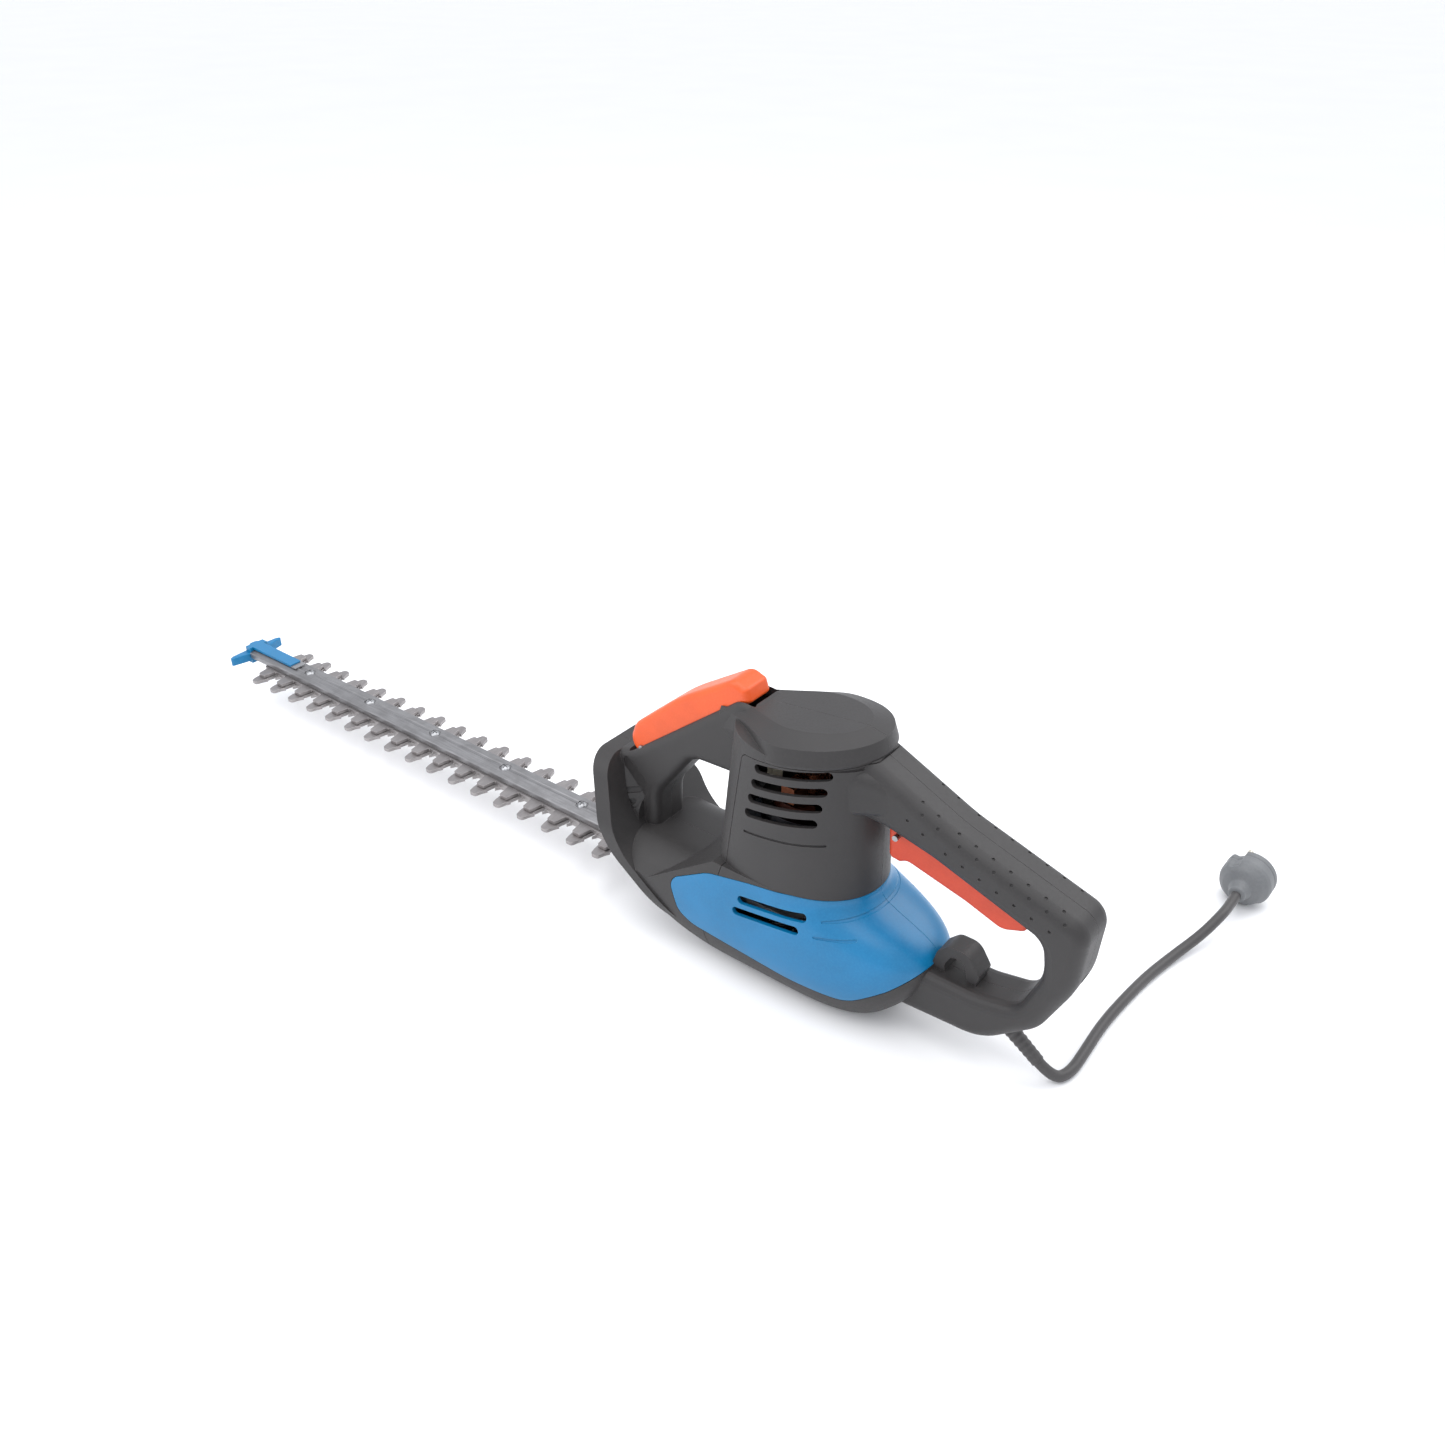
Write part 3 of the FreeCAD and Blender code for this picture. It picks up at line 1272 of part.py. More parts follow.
motor()
bearing_bridge()
brushes()


# ---------------------------------------------------------------- switches

def torsion_spring(radius, wire, turns):
    """A close-wound torsion spring about Z: touching turns and two straight legs."""
    spring = Part.makeTorus(radius, wire)
    for turn_index in range(1, turns):
        ring = Part.makeTorus(radius, wire)
        ring.translate(V(0, 0, turn_index * wire * 1.9))
        spring = spring.fuse(ring)
    lower_leg = Part.makeCylinder(wire, 7, V(0, radius, 0), V(1, 0, 0))
    upper_leg = Part.makeCylinder(wire, 7, V(0, -radius, (turns - 1) * wire * 1.9), V(1, 0, 0))
    return spring.fuse(lower_leg).fuse(upper_leg)


def rear_trigger():
    """The long trigger under the rear grip, its pivot pin and its return spring."""
    pin = size("pivot_pin_radius")
    half = size("trigger_half_width")
    corners = trigger_corners(0)
    body = slab(outline(corners, side_point), half)
    edges = [edge for edge in rim_edges(body, half) if edge.BoundBox.ZMax < 140]
    body = body.makeFillet(2.5, edges)
    hole = Part.makeCylinder(pin + size("running_gap"), 60, V(TRIGGER_PIVOT[0], -30, TRIGGER_PIVOT[1]), V(0, 1, 0))
    keep(solid_feature("rear_trigger", biggest_solid(body.cut(hole))), "rear_trigger")
    reach = size("grip_half_width") - size("grip_wall") - 0.1
    shaft = cylinder("trigger_pin", "pivot_pin_radius", "%g" % (2 * reach), "%g" % TRIGGER_PIVOT[0],
                     "%g" % -reach, "%g" % TRIGGER_PIVOT[1], "Y")
    keep(shaft, "trigger_pin")
    coil = torsion_spring(pin + 0.7, 0.4, 3)
    coil.rotate(V(0, 0, 0), V(1, 0, 0), -90)
    coil.translate(V(TRIGGER_PIVOT[0], half + 0.8, TRIGGER_PIVOT[1]))
    keep(solid_feature("trigger_spring", coil), "trigger_spring")


def front_switch_bar():
    """The long bar on the front handle, its pivot pin and its return spring."""
    pin = size("pivot_pin_radius")
    half = size("switch_bar_half_width")
    body = slab(outline(switch_bar_corners(0), side_point), half)
    edges = [edge for edge in rim_edges(body, half) if edge.BoundBox.ZMax > 1]
    body = body.makeFillet(4.5, edges)
    hole = Part.makeCylinder(pin + size("running_gap"), 60, V(BAR_PIVOT[0], -30, BAR_PIVOT[1]), V(0, 1, 0))
    keep(solid_feature("front_switch_bar", bar_frame(biggest_solid(body.cut(hole)))), "front_switch_bar")
    keep(solid_feature("switch_bar_pin", switch_bar_pin()), "switch_bar_pin")


def switch_box(name, height, across, high, tilt):
    """A snap switch: a box with a button under it and three tags on it, drawn along its own X."""
    pieces = [block(name + "_box", "24", "10", "%g" % height, "-12", "-5", "0"),
              block(name + "_button", "5", "4", "2.2", "-7", "-2", "-2")]
    for index in range(3):
        pieces.append(block(name + "_tag_%d" % index, "3.2", "0.8", "6", "%g" % (7.5 * index - 9), "-0.4",
                            "%g" % height))
    switch = fuse(name, *pieces)
    switch.Placement = FreeCAD.Placement(V(across, 0, high), FreeCAD.Rotation(V(0, 1, 0), tilt))
    keep(switch, name)


rear_trigger()
front_switch_bar()
switch_box("rear_switch", 10, 324, 156, 18)
switch_box("front_switch", 13, 172, 183.6, 180)


# ---------------------------------------------------------------- hook, clamp, screws

def case_screws():
    """The screws that hold the right shells to the left ones, their heads sunk on the right."""
    radius = size("case_screw_radius")
    screw = dome_screw(radius, radius + 1.8, 2.0, size("case_screw_length"))
    screw.rotate(V(0, 0, 0), V(1, 0, 0), -90)
    spots = [V(along, size("case_screw_length") / 2, level) for along, level in case_screw_places()]
    group("case_screws", copies(screw, spots))


keep(solid_feature("cable_hook", hook_solid()), "cable_hook")
case_screws()


# ---------------------------------------------------------------- cord

def arc_radii(route):
    """The bend radius at each inner point: 0.45 of the shorter run over tan(half the turn)."""
    radii = []
    for before, here, after in zip(route[:-2], route[1:-1], route[2:]):
        first = here - before
        second = after - here
        half_turn = first.getAngle(second) / 2
        radii.append(0.45 * min(first.Length, second.Length) / math.tan(half_turn))
    return radii


def arc_path(route):
    """Straight runs joined by tangent arcs."""
    edges = []
    start = route[0]
    for index, radius in enumerate(arc_radii(route), start=1):
        here = route[index]
        before = (route[index - 1] - here).normalize()
        after = (route[index + 1] - here).normalize()
        half = before.getAngle(after) / 2
        reach = radius / math.tan(half)
        enter = here + before * reach
        leave = here + after * reach
        middle_line = (before + after).normalize()
        middle = here + middle_line * (radius / math.sin(half) - radius)
        edges.append(Part.LineSegment(start, enter).toShape())
        edges.append(Part.Arc(enter, middle, leave).toShape())
        start = leave
    edges.append(Part.LineSegment(start, route[-1]).toShape())
    return Part.Wire(edges)


def tube(path, radius):
    """A round tube along a wire."""
    first = path.OrderedEdges[0]
    start = first.valueAt(first.FirstParameter)
    direction = first.tangentAt(first.FirstParameter)
    profile = Part.Wire([Part.Circle(start, direction, radius).toShape()])
    return path.makePipeShell([profile], True, False, 2)


def mains_cord():
    """The short lead from the boot to the plug, lying on the floor."""
    route = [V(*point) for point in CORD_ROUTE]
    radii = arc_radii(route)
    print("cord bend radii", [round(radius, 1) for radius in radii])
    path = arc_path(route)
    radius = size("cord_diameter") / 2
    solid = tube(path, radius)
    print("cord length", round(path.Length, 1), "volume", round(solid.Volume),
          "section x length", round(math.pi * radius ** 2 * path.Length))
    keep(solid_feature("mains_cord", solid), "mains_cord")


def strain_relief():
    """The rubber boot: a tapered sleeve from inside the handle to the free cord."""
    exit_point, direction = cord_exit()
    start = exit_point - direction * 8
    end = V(*CORD_ROUTE[0])
    axis = (end - start)
    length = axis.Length
    radius = size("boot_radius")
    boot = Part.makeCone(radius, size("cord_diameter") / 2 + 0.7, length, start, axis)
    collar = Part.makeCylinder(radius + 2.5, 3, start - axis.normalize() * 3, axis)
    keep(solid_feature("strain_relief", boot.fuse(collar).removeSplitter()), "strain_relief")


def plug():
    """The mains plug: a round body with two grips cut in its rim, and its two pins."""
    centre = V(*CORD_ROUTE[-1])
    radius = size("plug_radius")
    length = 34.0
    profile = Part.Wire([
        Part.LineSegment(V(0, 0, 0), V(6.5, 0, 0)).toShape(),
        Part.LineSegment(V(6.5, 0, 0), V(8.5, 9, 0)).toShape(),
        Part.Arc(V(8.5, 9, 0), V(14.5, 12.5, 0), V(radius - 1, 17, 0)).toShape(),
        Part.Arc(V(radius - 1, 17, 0), V(radius - 0.2, 18, 0), V(radius, 20, 0)).toShape(),
        Part.LineSegment(V(radius, 20, 0), V(radius, length, 0)).toShape(),
        Part.LineSegment(V(radius, length, 0), V(0, length, 0)).toShape(),
        Part.LineSegment(V(0, length, 0), V(0, 0, 0)).toShape(),
    ])
    body = Part.Face(profile).revolve(V(0, 0, 0), V(0, 1, 0), 360)
    for side in (0, 180):
        notch = Part.makeBox(8, 40, 6.5, V(radius - 4.2, -2, -3.25))
        notch.rotate(V(0, 0, 0), V(0, 1, 0), side - 55)
        body = body.cut(notch)
    pins = []
    for side in (-1, 1):
        pin = Part.makeCylinder(2.4, 19, V(side * 9.5, length, 0), V(0, 1, 0))
        pin = pin.makeFillet(1.2, [edge for edge in pin.Edges if edge.BoundBox.YMin > length + 18])
        pin.rotate(V(0, 0, 0), V(0, 1, 0), 35)
        pins.append(pin)
    for shape in [body] + pins:
        shape.translate(centre)
    keep(solid_feature("plug_body", biggest_solid(body)), "plug_body")
    group("plug_pins", pins)


strain_relief()
mains_cord()
plug()


def finish():
    """Recomputes, checks every object and writes one file for each piece."""
    doc.recompute()
    for item in doc.Objects:
        if "Invalid" in item.State or "Error" in item.State:
            raise RuntimeError("failed object: " + item.Label)
    for piece in SUBPARTS:
        if piece.Shape.isNull() or not piece.Shape.isValid():
            raise RuntimeError("bad shape: " + piece.Label)
    os.makedirs("parts", exist_ok=True)
    for piece in SUBPARTS:
        piece.Shape.exportStep("parts/%s.step" % piece.Label)
        print(piece.Label, len(piece.Shape.Solids), round(piece.Shape.Volume / 1000.0, 2))


finish()
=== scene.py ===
# %% [markdown]
# # A hedge trimmer, finished from its imported parts
# The real tool is a moulded plastic body with a long flat cutting bar in front and a short
# mains lead behind. Its parts were designed as solids and packed as one model, so nothing
# is placed by eye here: every CAD part is already where it belongs, in metres. This file
# gives each part a finish, lays the lead, adds the pieces that have fine surface detail,
# and sets up a small studio around the tool.
#
# The first cell empties the new scene and loads the imported parts.

# %% The frame
import bpy
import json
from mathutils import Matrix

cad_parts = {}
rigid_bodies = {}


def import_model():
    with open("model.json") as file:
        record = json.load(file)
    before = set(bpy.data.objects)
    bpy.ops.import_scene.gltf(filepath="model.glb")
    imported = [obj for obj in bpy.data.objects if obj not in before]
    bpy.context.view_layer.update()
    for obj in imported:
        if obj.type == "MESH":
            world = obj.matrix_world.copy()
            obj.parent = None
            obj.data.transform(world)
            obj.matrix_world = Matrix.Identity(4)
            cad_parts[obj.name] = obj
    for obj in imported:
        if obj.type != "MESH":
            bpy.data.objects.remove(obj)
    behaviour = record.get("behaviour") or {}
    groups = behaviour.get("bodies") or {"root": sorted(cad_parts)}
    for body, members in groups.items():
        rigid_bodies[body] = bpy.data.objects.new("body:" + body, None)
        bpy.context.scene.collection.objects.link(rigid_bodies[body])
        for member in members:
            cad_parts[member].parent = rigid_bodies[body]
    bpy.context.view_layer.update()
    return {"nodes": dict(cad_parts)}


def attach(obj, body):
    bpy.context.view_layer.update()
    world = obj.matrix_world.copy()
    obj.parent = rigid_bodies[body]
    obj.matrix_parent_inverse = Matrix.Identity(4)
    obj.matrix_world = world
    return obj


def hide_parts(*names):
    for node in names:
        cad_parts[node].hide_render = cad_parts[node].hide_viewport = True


for thing in list(bpy.data.objects):
    bpy.data.objects.remove(thing)
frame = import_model()

# %% [markdown]
# ## Studio
# A tool on a white table is best shown by large soft lights: a wide one above gives the
# plastic its long, gentle highlights, and a pale world fills the shadows. Area lights are used
# because a lamp without size would draw hard edges on the floor. The camera stands to the
# tool's left, behind and above it, as somebody would who is about to pick it up, so the
# long bar runs away from the eye.

# %% A camera that looks at a point
import math
from mathutils import Vector

CAMERA_AZIMUTH = 38.07
CAMERA_ELEVATION = 31.49
CAMERA_DISTANCE = 1.2202
CAMERA_AIM = Vector((-0.0270, 0.2236, 0.0))


def direction(azimuth, elevation):
    """The unit vector towards a place seen at that azimuth and elevation, both in degrees."""
    turn, rise = math.radians(azimuth), math.radians(elevation)
    return Vector((
        math.sin(turn) * math.cos(rise),
        -math.cos(turn) * math.cos(rise),
        math.sin(rise),
    ))


def aimed(thing, place, target):
    """Stands a camera or a light at a place and turns it to look at the target."""
    thing.location = place
    thing.rotation_euler = (target - place).to_track_quat("-Z", "Y").to_euler()
    bpy.context.collection.objects.link(thing)
    return thing


camera = bpy.data.objects.new("camera", bpy.data.cameras.new("camera"))
camera.data.lens = 32.44
camera.data.clip_start = 0.01
away = direction(CAMERA_AZIMUTH, CAMERA_ELEVATION)
aimed(camera, CAMERA_AIM + away * CAMERA_DISTANCE, CAMERA_AIM)
bpy.context.scene.camera = camera
print("camera at", [round(value, 3) for value in camera.location])

# %% Lights and a pale world
# Each light is a square: its azimuth, elevation, distance, side in metres, and watts.
LIGHTS = {
    "overhead": (20, 82, 1.6, 1.5, 16.0),
    "window": (-35, 38, 1.9, 1.1, 9.0),
    "rear_strip": (150, 42, 1.8, 1.0, 9.0),
}
middle = Vector((0.05, 0.0, 0.06))
for name, (azimuth, elevation, distance, side, watts) in LIGHTS.items():
    lamp = bpy.data.lights.new(name, "AREA")
    lamp.size = side
    lamp.energy = watts
    light = bpy.data.objects.new(name, lamp)
    aimed(light, middle + direction(azimuth, elevation) * distance, middle)

world = bpy.data.worlds.new("studio")
bpy.context.scene.world = world
world.use_nodes = True
sky = world.node_tree.nodes["Background"]
sky.inputs["Color"].default_value = (0.93, 0.95, 1.0, 1.0)
sky.inputs["Strength"].default_value = 1.12
# the plain display curve keeps a plastic's colour as strong as its pigment is
bpy.context.scene.view_settings.view_transform = "Standard"
print("lights:", ", ".join(LIGHTS))

# %% [markdown]
# ## Materials
# Every finish below is a small node tree, built by three helpers. `node` adds one node and
# joins it up, so a tree reads as a list of steps. `speckle` is noise on Object coordinates:
# the parts never move inside their own objects, so the grain stays on the surface. `edge_mask`
# finds sharp edges by comparing the true surface direction with one that is rounded off
# over a fraction of a millimetre: colour mixed in there is handling wear and a painted edge highlight.

# %% Helpers for node trees
def linear(red, green, blue):
    """A colour from its usual 0 to 255 values, as the linear light that shaders work in."""
    values = []
    for value in (red, green, blue):
        share = value / 255
        values.append(share / 12.92 if share <= 0.04045 else ((share + 0.055) / 1.055) ** 2.4)
    return (*values, 1.0)


def new_material(name):
    """An empty finish with one principled shader. Returns the material, its tree and the shader."""
    material = bpy.data.materials.new(name)
    material.use_nodes = True
    return material, material.node_tree, material.node_tree.nodes["Principled BSDF"]


def node(tree, kind, inputs=(), out=0, **settings):
    """Adds a node, fills or joins its inputs, and returns one of its outputs."""
    made = tree.nodes.new("ShaderNode" + kind)
    for word, value in settings.items():
        setattr(made, word, value)
    for place, value in dict(inputs).items():
        if isinstance(value, bpy.types.NodeSocket):
            tree.links.new(value, made.inputs[place])
        else:
            made.inputs[place].default_value = value
    return made.outputs[out]


def maths(tree, operation, first, second=0.0):
    """One sum on two numbers or sockets."""
    return node(tree, "Math", {0: first, 1: second}, operation=operation)


def mixed(tree, share, first, second):
    """A colour between two colours."""
    return node(tree, "Mix", {0: share, 6: first, 7: second}, out=2, data_type="RGBA")


def spread(tree, value, low, high, new_low=0.0, new_high=1.0):
    """Stretches low..high of a value over new_low..new_high, and cuts off the rest."""
    return node(tree, "MapRange", {0: value, 1: low, 2: high, 3: new_low, 4: new_high})


def place_on(tree, stretch=(1.0, 1.0, 1.0)):
    """Object coordinates, in metres, each axis multiplied by its stretch."""
    where = node(tree, "TexCoord", out="Object")
    return node(tree, "Mapping", {"Vector": where, "Scale": stretch})


def speckle(tree, size, detail=2.0, stretch=(1.0, 1.0, 1.0)):
    """Noise whose spots are about that size, in metres."""
    return node(tree, "TexNoise", {
        "Vector": place_on(tree, stretch), "Scale": 1 / size, "Detail": detail, "Roughness": 0.6,
    })


def rounded(tree, radius):
    """The surface direction as if every edge were rounded to that radius, in metres."""
    return node(tree, "Bevel", {"Radius": radius}, samples=4)


def edge_mask(tree, radius):
    """1 on sharp edges and 0 away from them: one less the dot product of two directions."""
    true = node(tree, "NewGeometry", out="Normal")
    agree = node(tree, "VectorMath", {0: rounded(tree, radius), 1: true}, out="Value",
                 operation="DOT_PRODUCT")
    return spread(tree, agree, 0.97, 0.75)


def bumped(tree, shader, height, distance, strength=1.0, normal=None):
    """Lets a height pattern tilt the surface; distance is its full height in metres."""
    inputs = {"Height": height, "Distance": distance, "Strength": strength}
    if normal is not None:
        inputs["Normal"] = normal
    tree.links.new(node(tree, "Bump", inputs), shader.inputs["Normal"])


def colour_and_gloss(tree, shader, colour, roughness):
    """Joins a worked-out colour and roughness to the shader."""
    tree.links.new(colour, shader.inputs["Base Color"])
    tree.links.new(roughness, shader.inputs["Roughness"])


FINISHES = {}

# %% [markdown]
# ## Moulded plastic
# The shells, the blue cover, the orange bar and the red trigger come out of steel moulds. A
# black housing's mould is etched, which leaves a fine even grain that scatters the light; the
# coloured parts have a smoother, shinier one. One function makes them all: broad faint clouds
# of colour from the pigment, a leathery bump with spots well under a millimetre, and
# edges that are a little paler and smoother: the paler colour there is partly handling wear and
# partly a painted highlight along the edges.

# %% Plastics
def plastic(name, colour, worn_and_highlight_colour, roughness, grain, depth, sheen=0.0):
    """A moulded finish: grain is the size of its spots and depth their height, in metres."""
    material, tree, shader = new_material(name)
    clouds = spread(tree, speckle(tree, 0.035, 3.0), 0.35, 0.68)
    dust = spread(tree, speckle(tree, 0.0016, 2.0), 0.42, 0.72)
    darker = tuple(value * 0.86 for value in colour[:3]) + (1.0,)
    base = mixed(tree, clouds, darker, colour)
    base = mixed(tree, maths(tree, "MULTIPLY", dust, 0.10), base, worn_and_highlight_colour)
    # sharp edges painted paler: handling wear together with a painted edge highlight
    rubbed_and_highlit = maths(tree, "MULTIPLY", edge_mask(tree, 0.0007), spread(tree, clouds, 0.0, 1.0, 0.25, 0.7))
    base = mixed(tree, rubbed_and_highlit, base, worn_and_highlight_colour)
    gloss = spread(tree, dust, 0.0, 1.0, roughness - 0.05, roughness + 0.06)
    gloss = maths(tree, "SUBTRACT", gloss, maths(tree, "MULTIPLY", rubbed_and_highlit, 0.12))
    colour_and_gloss(tree, shader, base, gloss)
    bumped(tree, shader, speckle(tree, grain, 3.0), depth, 0.55, rounded(tree, 0.0005))
    shader.inputs["IOR"].default_value = 1.49
    shader.inputs["Sheen Weight"].default_value = sheen
    FINISHES[name] = material


plastic("black_plastic", linear(40, 38, 38), linear(84, 80, 79), 0.56, 0.00055, 0.00006, 0.03)
plastic("blue_plastic", linear(0, 110, 160), linear(50, 150, 195), 0.36, 0.0007, 0.00003)
plastic("orange_plastic", linear(222, 82, 22), linear(240, 132, 84), 0.42, 0.0006, 0.00004)
plastic("red_plastic", linear(196, 60, 28), linear(224, 108, 76), 0.42, 0.0006, 0.00004)
plastic("cream_plastic", linear(206, 198, 178), linear(232, 228, 214), 0.5, 0.0006, 0.00003)
plastic("fan_plastic", linear(58, 60, 62), linear(104, 106, 108), 0.5, 0.0006, 0.00003)
plastic("plug_grey", linear(104, 106, 108), linear(150, 152, 154), 0.52, 0.0006, 0.00005)
print("plastics:", ", ".join(FINISHES))

# %% [markdown]
# ## Steel and aluminium
# The blades are stamped from spring steel and ground, so their scratches run one way; the bar
# above them is rolled strip, brushed along its length. The screws are turned and zinc plated.
# Metal has no colour of its own under its reflections, so it is told apart by how it was
# worked: `metal` stretches a noise along one axis until it becomes brushing, adds slow
# patches of dullness, as from dried sap, and brightens the edges, partly as wear and partly as a
# painted highlight.

# %% Metals
def metal(name, colour, bright, roughness, brushed=(1.0, 1.0, 1.0), line=0.0006, depth=0.00001,
          stain=0.2):
    """A worked metal: brushed is how its scratches are stretched along each axis."""
    material, tree, shader = new_material(name)
    lines = speckle(tree, line, 4.0, brushed)
    patches = spread(tree, speckle(tree, 0.018, 3.0), 0.42, 0.70)
    dull = tuple(value * 0.55 for value in colour[:3]) + (1.0,)
    base = mixed(tree, spread(tree, lines, 0.3, 0.7, 0.0, 0.35), colour, bright)
    base = mixed(tree, maths(tree, "MULTIPLY", patches, stain), base, dull)
    # sharp edges painted brighter: wear together with a painted edge highlight
    edges = edge_mask(tree, 0.0004)
    base = mixed(tree, maths(tree, "MULTIPLY", edges, 0.6), base, bright)
    gloss = spread(tree, lines, 0.3, 0.7, roughness - 0.07, roughness + 0.09)
    gloss = maths(tree, "ADD", gloss, maths(tree, "MULTIPLY", patches, 0.12))
    colour_and_gloss(tree, shader, base, gloss)
    bumped(tree, shader, lines, depth, 0.6, rounded(tree, 0.0003))
    shader.inputs["Metallic"].default_value = 1.0
    FINISHES[name] = material


metal("blade_steel", linear(142, 138, 138), linear(206, 202, 200), 0.42, (1.0, 0.06, 1.0), 0.0005)
metal("bar_steel", linear(128, 127, 128), linear(196, 196, 198), 0.40, (0.03, 1.0, 1.0), 0.0006,
      stain=0.35)
metal("bright_steel", linear(150, 151, 153), linear(206, 206, 208), 0.34, line=0.0004, stain=0.15)
metal("gear_steel", linear(150, 150, 154), linear(205, 205, 208), 0.30, line=0.0004, stain=0.15)
metal("case_aluminium", linear(176, 178, 180), linear(214, 216, 218), 0.5, line=0.0009,
      depth=0.00005, stain=0.25)
metal("copper", linear(112, 66, 46), linear(160, 104, 78), 0.38, line=0.0005, stain=0.4)
metal("plug_metal", linear(204, 198, 182), linear(240, 236, 224), 0.24, (1.0, 0.08, 1.0), 0.0004)
print("metals and plastics so far:", len(FINISHES))

# %% [markdown]
# ## Inside the motor
# Three finishes are seen through the air slots or when the shells are off: stacks of thin
# dark steel sheets, enamelled copper wire and sooty carbon. The matt rubber of the lead is
# made here too, in the same way as the carbon. A wave texture gives the sheets' edges and
# the turns of wire, because both are even stripes.

# %% Stripes, carbon and rubber
def striped(name, colour, groove, roughness, spacing, axis, metallic):
    """Even stripes across one axis, a spacing apart in metres, as of sheets or turns of wire."""
    material, tree, shader = new_material(name)
    # a wave repeats every 2 pi / 20 of its scaled distance
    stripes = node(tree, "TexWave", {
        "Vector": place_on(tree), "Scale": math.pi / 10 / spacing, "Distortion": 0.3,
        "Detail": 1.0, "Detail Scale": 0.4,
    }, bands_direction=axis)
    patches = spread(tree, speckle(tree, 0.006, 3.0), 0.4, 0.7)
    base = mixed(tree, stripes, groove, colour)
    base = mixed(tree, maths(tree, "MULTIPLY", patches, 0.3), base, groove)
    gloss = spread(tree, patches, 0.0, 1.0, roughness - 0.06, roughness + 0.1)
    colour_and_gloss(tree, shader, base, gloss)
    bumped(tree, shader, stripes, spacing * 0.3, 0.7)
    shader.inputs["Metallic"].default_value = metallic
    FINISHES[name] = material


striped("dark_steel", linear(98, 98, 104), linear(44, 42, 42), 0.42, 0.0010, "Z", 1.0)
striped("winding", linear(88, 40, 24), linear(34, 16, 10), 0.36, 0.0008, "Z", 0.6)

plastic("carbon", linear(34, 34, 36), linear(70, 70, 74), 0.62, 0.0004, 0.00004)
plastic("cord_rubber", linear(62, 60, 60), linear(104, 100, 98), 0.50, 0.0009, 0.00006, 0.05)

for part in frame["nodes"].values():
    for place in part.material_slots:
        place.material = FINISHES[place.material.name.split(".")[0]]
print("finishes:", len(FINISHES), "on", len(frame["nodes"]), "parts")

# %% [markdown]
# ## The mains lead
# The lead is round rubber-covered cable, 7.6 mm thick. It leaves the rear handle through a
# rubber boot, drops to the table, runs along it and lifts into the plug. A NURBS curve is the
# natural tool: its few control points are the corners of the lead's route, and the
# curve passes smoothly near them as a springy cable does. `bevel_depth` gives the line its
# real thickness.

# %% The lead's line
LEAD_DIAMETER = 0.0076
LEAD_ROUTE = [
    (0.4040, 0.0020, 0.0144), (0.4155, 0.0029, 0.0050), (0.4218, 0.0160, 0.0038),
    (0.4210, 0.0400, 0.0038), (0.4196, 0.0700, 0.0038), (0.4215, 0.1020, 0.0038),
    (0.4250, 0.1350, 0.0038), (0.4315, 0.1660, 0.0046), (0.4405, 0.1910, 0.0110),
    (0.4465, 0.2100, 0.0196), (0.4472, 0.2250, 0.0196), (0.4468, 0.2400, 0.0196),
]


def nurbs_line(name, points):
    """A smooth open curve with those control points, reaching its first and last one."""
    line = bpy.data.curves.new(name, "CURVE")
    line.dimensions = "3D"
    spline = line.splines.new("NURBS")
    spline.points.add(len(points) - 1)
    for point, place in zip(spline.points, points):
        point.co = (*place, 1.0)
    spline.order_u = 3
    spline.use_endpoint_u = True
    spline.resolution_u = 12
    return line


lead_line = nurbs_line("lead_line", LEAD_ROUTE)
lead_line.bevel_depth = LEAD_DIAMETER / 2
lead_line.bevel_resolution = 7
lead_line.use_fill_caps = True
lead_line.materials.append(FINISHES["cord_rubber"])
lead = bpy.data.objects.new("lead", lead_line)
bpy.context.collection.objects.link(lead)
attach(lead, "body")
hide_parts("mains_cord")
print("lead of", len(LEAD_ROUTE), "points")

# %% [markdown]
# ## Pieces worked out on a grid
# The boot and the plug are round things with rings, ribs and grips. Each is a surface of
# two parameters: how far along its axis, and how far round. numpy works out every point of the
# grid in one go, and one helper turns any such grid into a closed mesh: neighbouring points
# make quads, the last column joins the first, and a fan closes each end.

# %% From a grid of points to a mesh
import numpy as np


def closed_tube(name, rings, finish, body="body"):
    """A mesh from rings[along, round, xyz]: quads between rings and a fan to each end's centre.

    Point k of ring i is number i * around + k, and a quad joins (i, k), (i, k + 1),
    (i + 1, k + 1) and (i + 1, k), with k counted round the ring.
    """
    along, around = rings.shape[:2]
    points = np.concatenate([rings.reshape(-1, 3), [rings[0].mean(0), rings[-1].mean(0)]])
    ring, step = np.meshgrid(np.arange(along - 1), np.arange(around), indexing="ij")
    after = (step + 1) % around
    corners = [ring * around + step, ring * around + after,
               (ring + 1) * around + after, (ring + 1) * around + step]
    quads = np.stack(corners, -1).reshape(-1, 4)
    turn = np.arange(around)
    after = (turn + 1) % around
    first, last = along * around, along * around + 1
    start = np.stack([after, turn, np.full(around, first)], -1)
    finish_row = (along - 1) * around
    end = np.stack([finish_row + turn, finish_row + after, np.full(around, last)], -1)
    mesh = bpy.data.meshes.new(name)
    mesh.from_pydata(points.tolist(), [], quads.tolist() + start.tolist() + end.tolist())
    mesh.polygons.foreach_set("use_smooth", np.ones(len(mesh.polygons), bool))
    mesh.materials.append(FINISHES[finish])
    piece = bpy.data.objects.new(name, mesh)
    bpy.context.collection.objects.link(piece)
    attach(piece, body)
    print(name, "has", len(mesh.polygons), "faces")
    return piece


def around_axis(start, axis, distances, radii, angles):
    """Rings about a straight axis: start + axis * distance + radius * (cos, sin) across it.

    radii has one value for each distance and angle, or one column for all angles.
    """
    axis = np.array(axis) / np.linalg.norm(axis)
    side = np.cross(axis, (0.0, 0.0, 1.0))
    side /= np.linalg.norm(side)
    other = np.cross(axis, side)
    out = np.cos(angles)[:, None] * side + np.sin(angles)[:, None] * other
    middle_line = np.array(start) + distances[:, None] * axis
    return middle_line[:, None, :] + radii[:, :, None] * out[None]


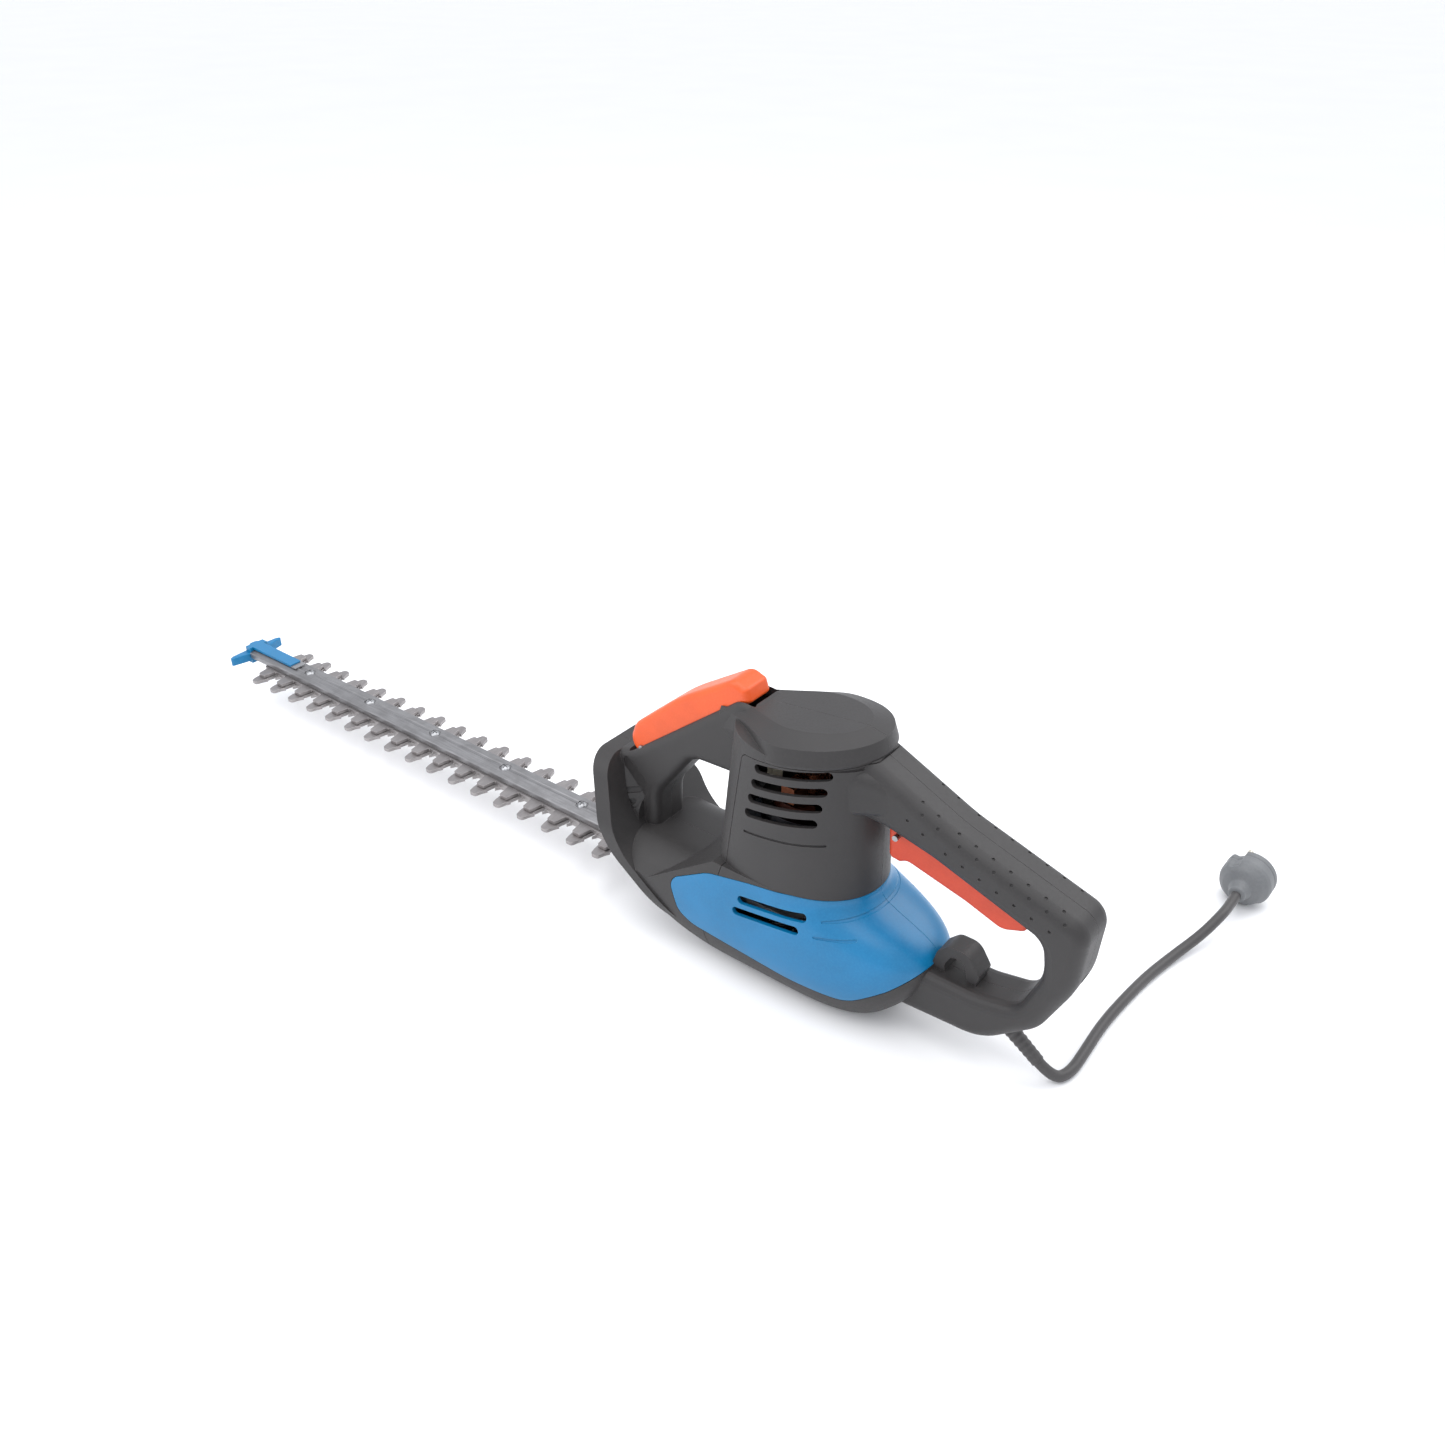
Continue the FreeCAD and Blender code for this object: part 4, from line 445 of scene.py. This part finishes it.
# %% [markdown]
# ## The boot
# A boot spreads the bending of the lead over a few centimetres, or the wires would break
# where they leave the handle. It is a cone of soft rubber with rings cut round it, so that
# it bends evenly. The rings are a cosine wave on the cone's radius, which dies out
# towards both ends.

# %% The boot's surface
BOOT_MOUTH = np.array([0.381, 0.0, 0.034])
BOOT_INSIDE = 0.008
BOOT_WIDE = 0.0056
BOOT_NARROW = LEAD_DIAMETER / 2 + 0.0007
RING_COUNT = 9
RING_DEPTH = 0.00045

# it starts inside the handle and ends where the free lead begins
boot_end = np.array(LEAD_ROUTE[0])
boot_axis = boot_end - BOOT_MOUTH
boot_start = BOOT_MOUTH - boot_axis / np.linalg.norm(boot_axis) * BOOT_INSIDE
boot_length = np.linalg.norm(boot_end - boot_start)
share = np.linspace(0.0, 1.0, 90)
angles = np.linspace(0.0, 2 * np.pi, 48, endpoint=False)
cone = BOOT_WIDE + (BOOT_NARROW - BOOT_WIDE) * share
wave = 0.5 - 0.5 * np.cos(2 * np.pi * RING_COUNT * share)
rings_cut = RING_DEPTH * wave * np.sin(np.pi * share) ** 0.5
boot_radii = np.repeat((cone - rings_cut)[:, None], len(angles), 1)
boot_rings = around_axis(boot_start, boot_axis, share * boot_length, boot_radii, angles)
boot = closed_tube("boot", boot_rings, "cord_rubber")
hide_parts("strain_relief")
print("boot length, in mm:", round(boot_length * 1000, 1))

# %% [markdown]
# ## The plug
# The plug is moulded onto the lead: a slim neck that widens into a round body, with a
# flat front that carries two pins. Two grips are sunk into its rim for the fingers. The
# profile is a row of (distance, radius) pairs read as straight runs, softened by
# averaging, and the grips are smooth dents in the radius at two opposite angles.

# %% The plug's surface
PLUG_PROFILE = np.array([
    (0.0, 4.6), (0.4, 6.2), (3.0, 6.6), (9.0, 8.5), (12.5, 14.5), (17.0, 18.4),
    (20.0, 19.4), (27.0, 19.4), (27.6, 18.7), (28.4, 18.7), (29.0, 19.4), (33.4, 19.4), (34.0, 18.6),
]) / 1000
distances = np.linspace(0.0, PLUG_PROFILE[-1, 0], 140)
profile = np.interp(distances, PLUG_PROFILE[:, 0], PLUG_PROFILE[:, 1])
padded = np.pad(profile, 2, mode="edge")
profile = sum(padded[shift:shift + len(profile)] for shift in range(5)) / 5
angles = np.linspace(0.0, 2 * np.pi, 128, endpoint=False)
GRIP_TURN = math.radians(55)
GRIP_START = 0.0165
GRIP_DEPTH = 0.0036
facing = np.abs(np.cos(angles - GRIP_TURN))
# both steps are smooth: one opens near the grip's middle angle, one along the plug
dent = 1 / (1 + np.exp(-(facing - 0.975) / 0.006))
where = 1 / (1 + np.exp(-(distances - GRIP_START) / 0.0006))
plug_radii = profile[:, None] - GRIP_DEPTH * dent[None, :] * where[:, None]
plug_rings = around_axis(LEAD_ROUTE[-1], (0.0, 1.0, 0.0), distances, plug_radii, angles)
plug = closed_tube("plug", plug_rings, "plug_grey")
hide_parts("plug_body")

# %% [markdown]
# ## The table
# The tool lies on a plain pale surface, far larger than the view, so that no edge shows.

# %% The floor
FLOOR_HALF = 40.0
floor_mesh = bpy.data.meshes.new("floor")
corners = [(-1, -1), (1, -1), (1, 1), (-1, 1)]
places = [(x * FLOOR_HALF, y * FLOOR_HALF, 0.0) for x, y in corners]
floor_mesh.from_pydata(places, [], [(0, 1, 2, 3)])
floor = bpy.data.objects.new("floor", floor_mesh)
bpy.context.collection.objects.link(floor)
material, tree, shader = new_material("table_white")
cloud = spread(tree, speckle(tree, 0.4, 2.0), 0.3, 0.7)
white = mixed(tree, cloud, linear(245, 245, 246), linear(247, 247, 247))
colour_and_gloss(tree, shader, white, spread(tree, cloud, 0.0, 1.0, 0.75, 0.85))
floor_mesh.materials.append(material)

# %% The last update
import json

bpy.context.view_layer.update()
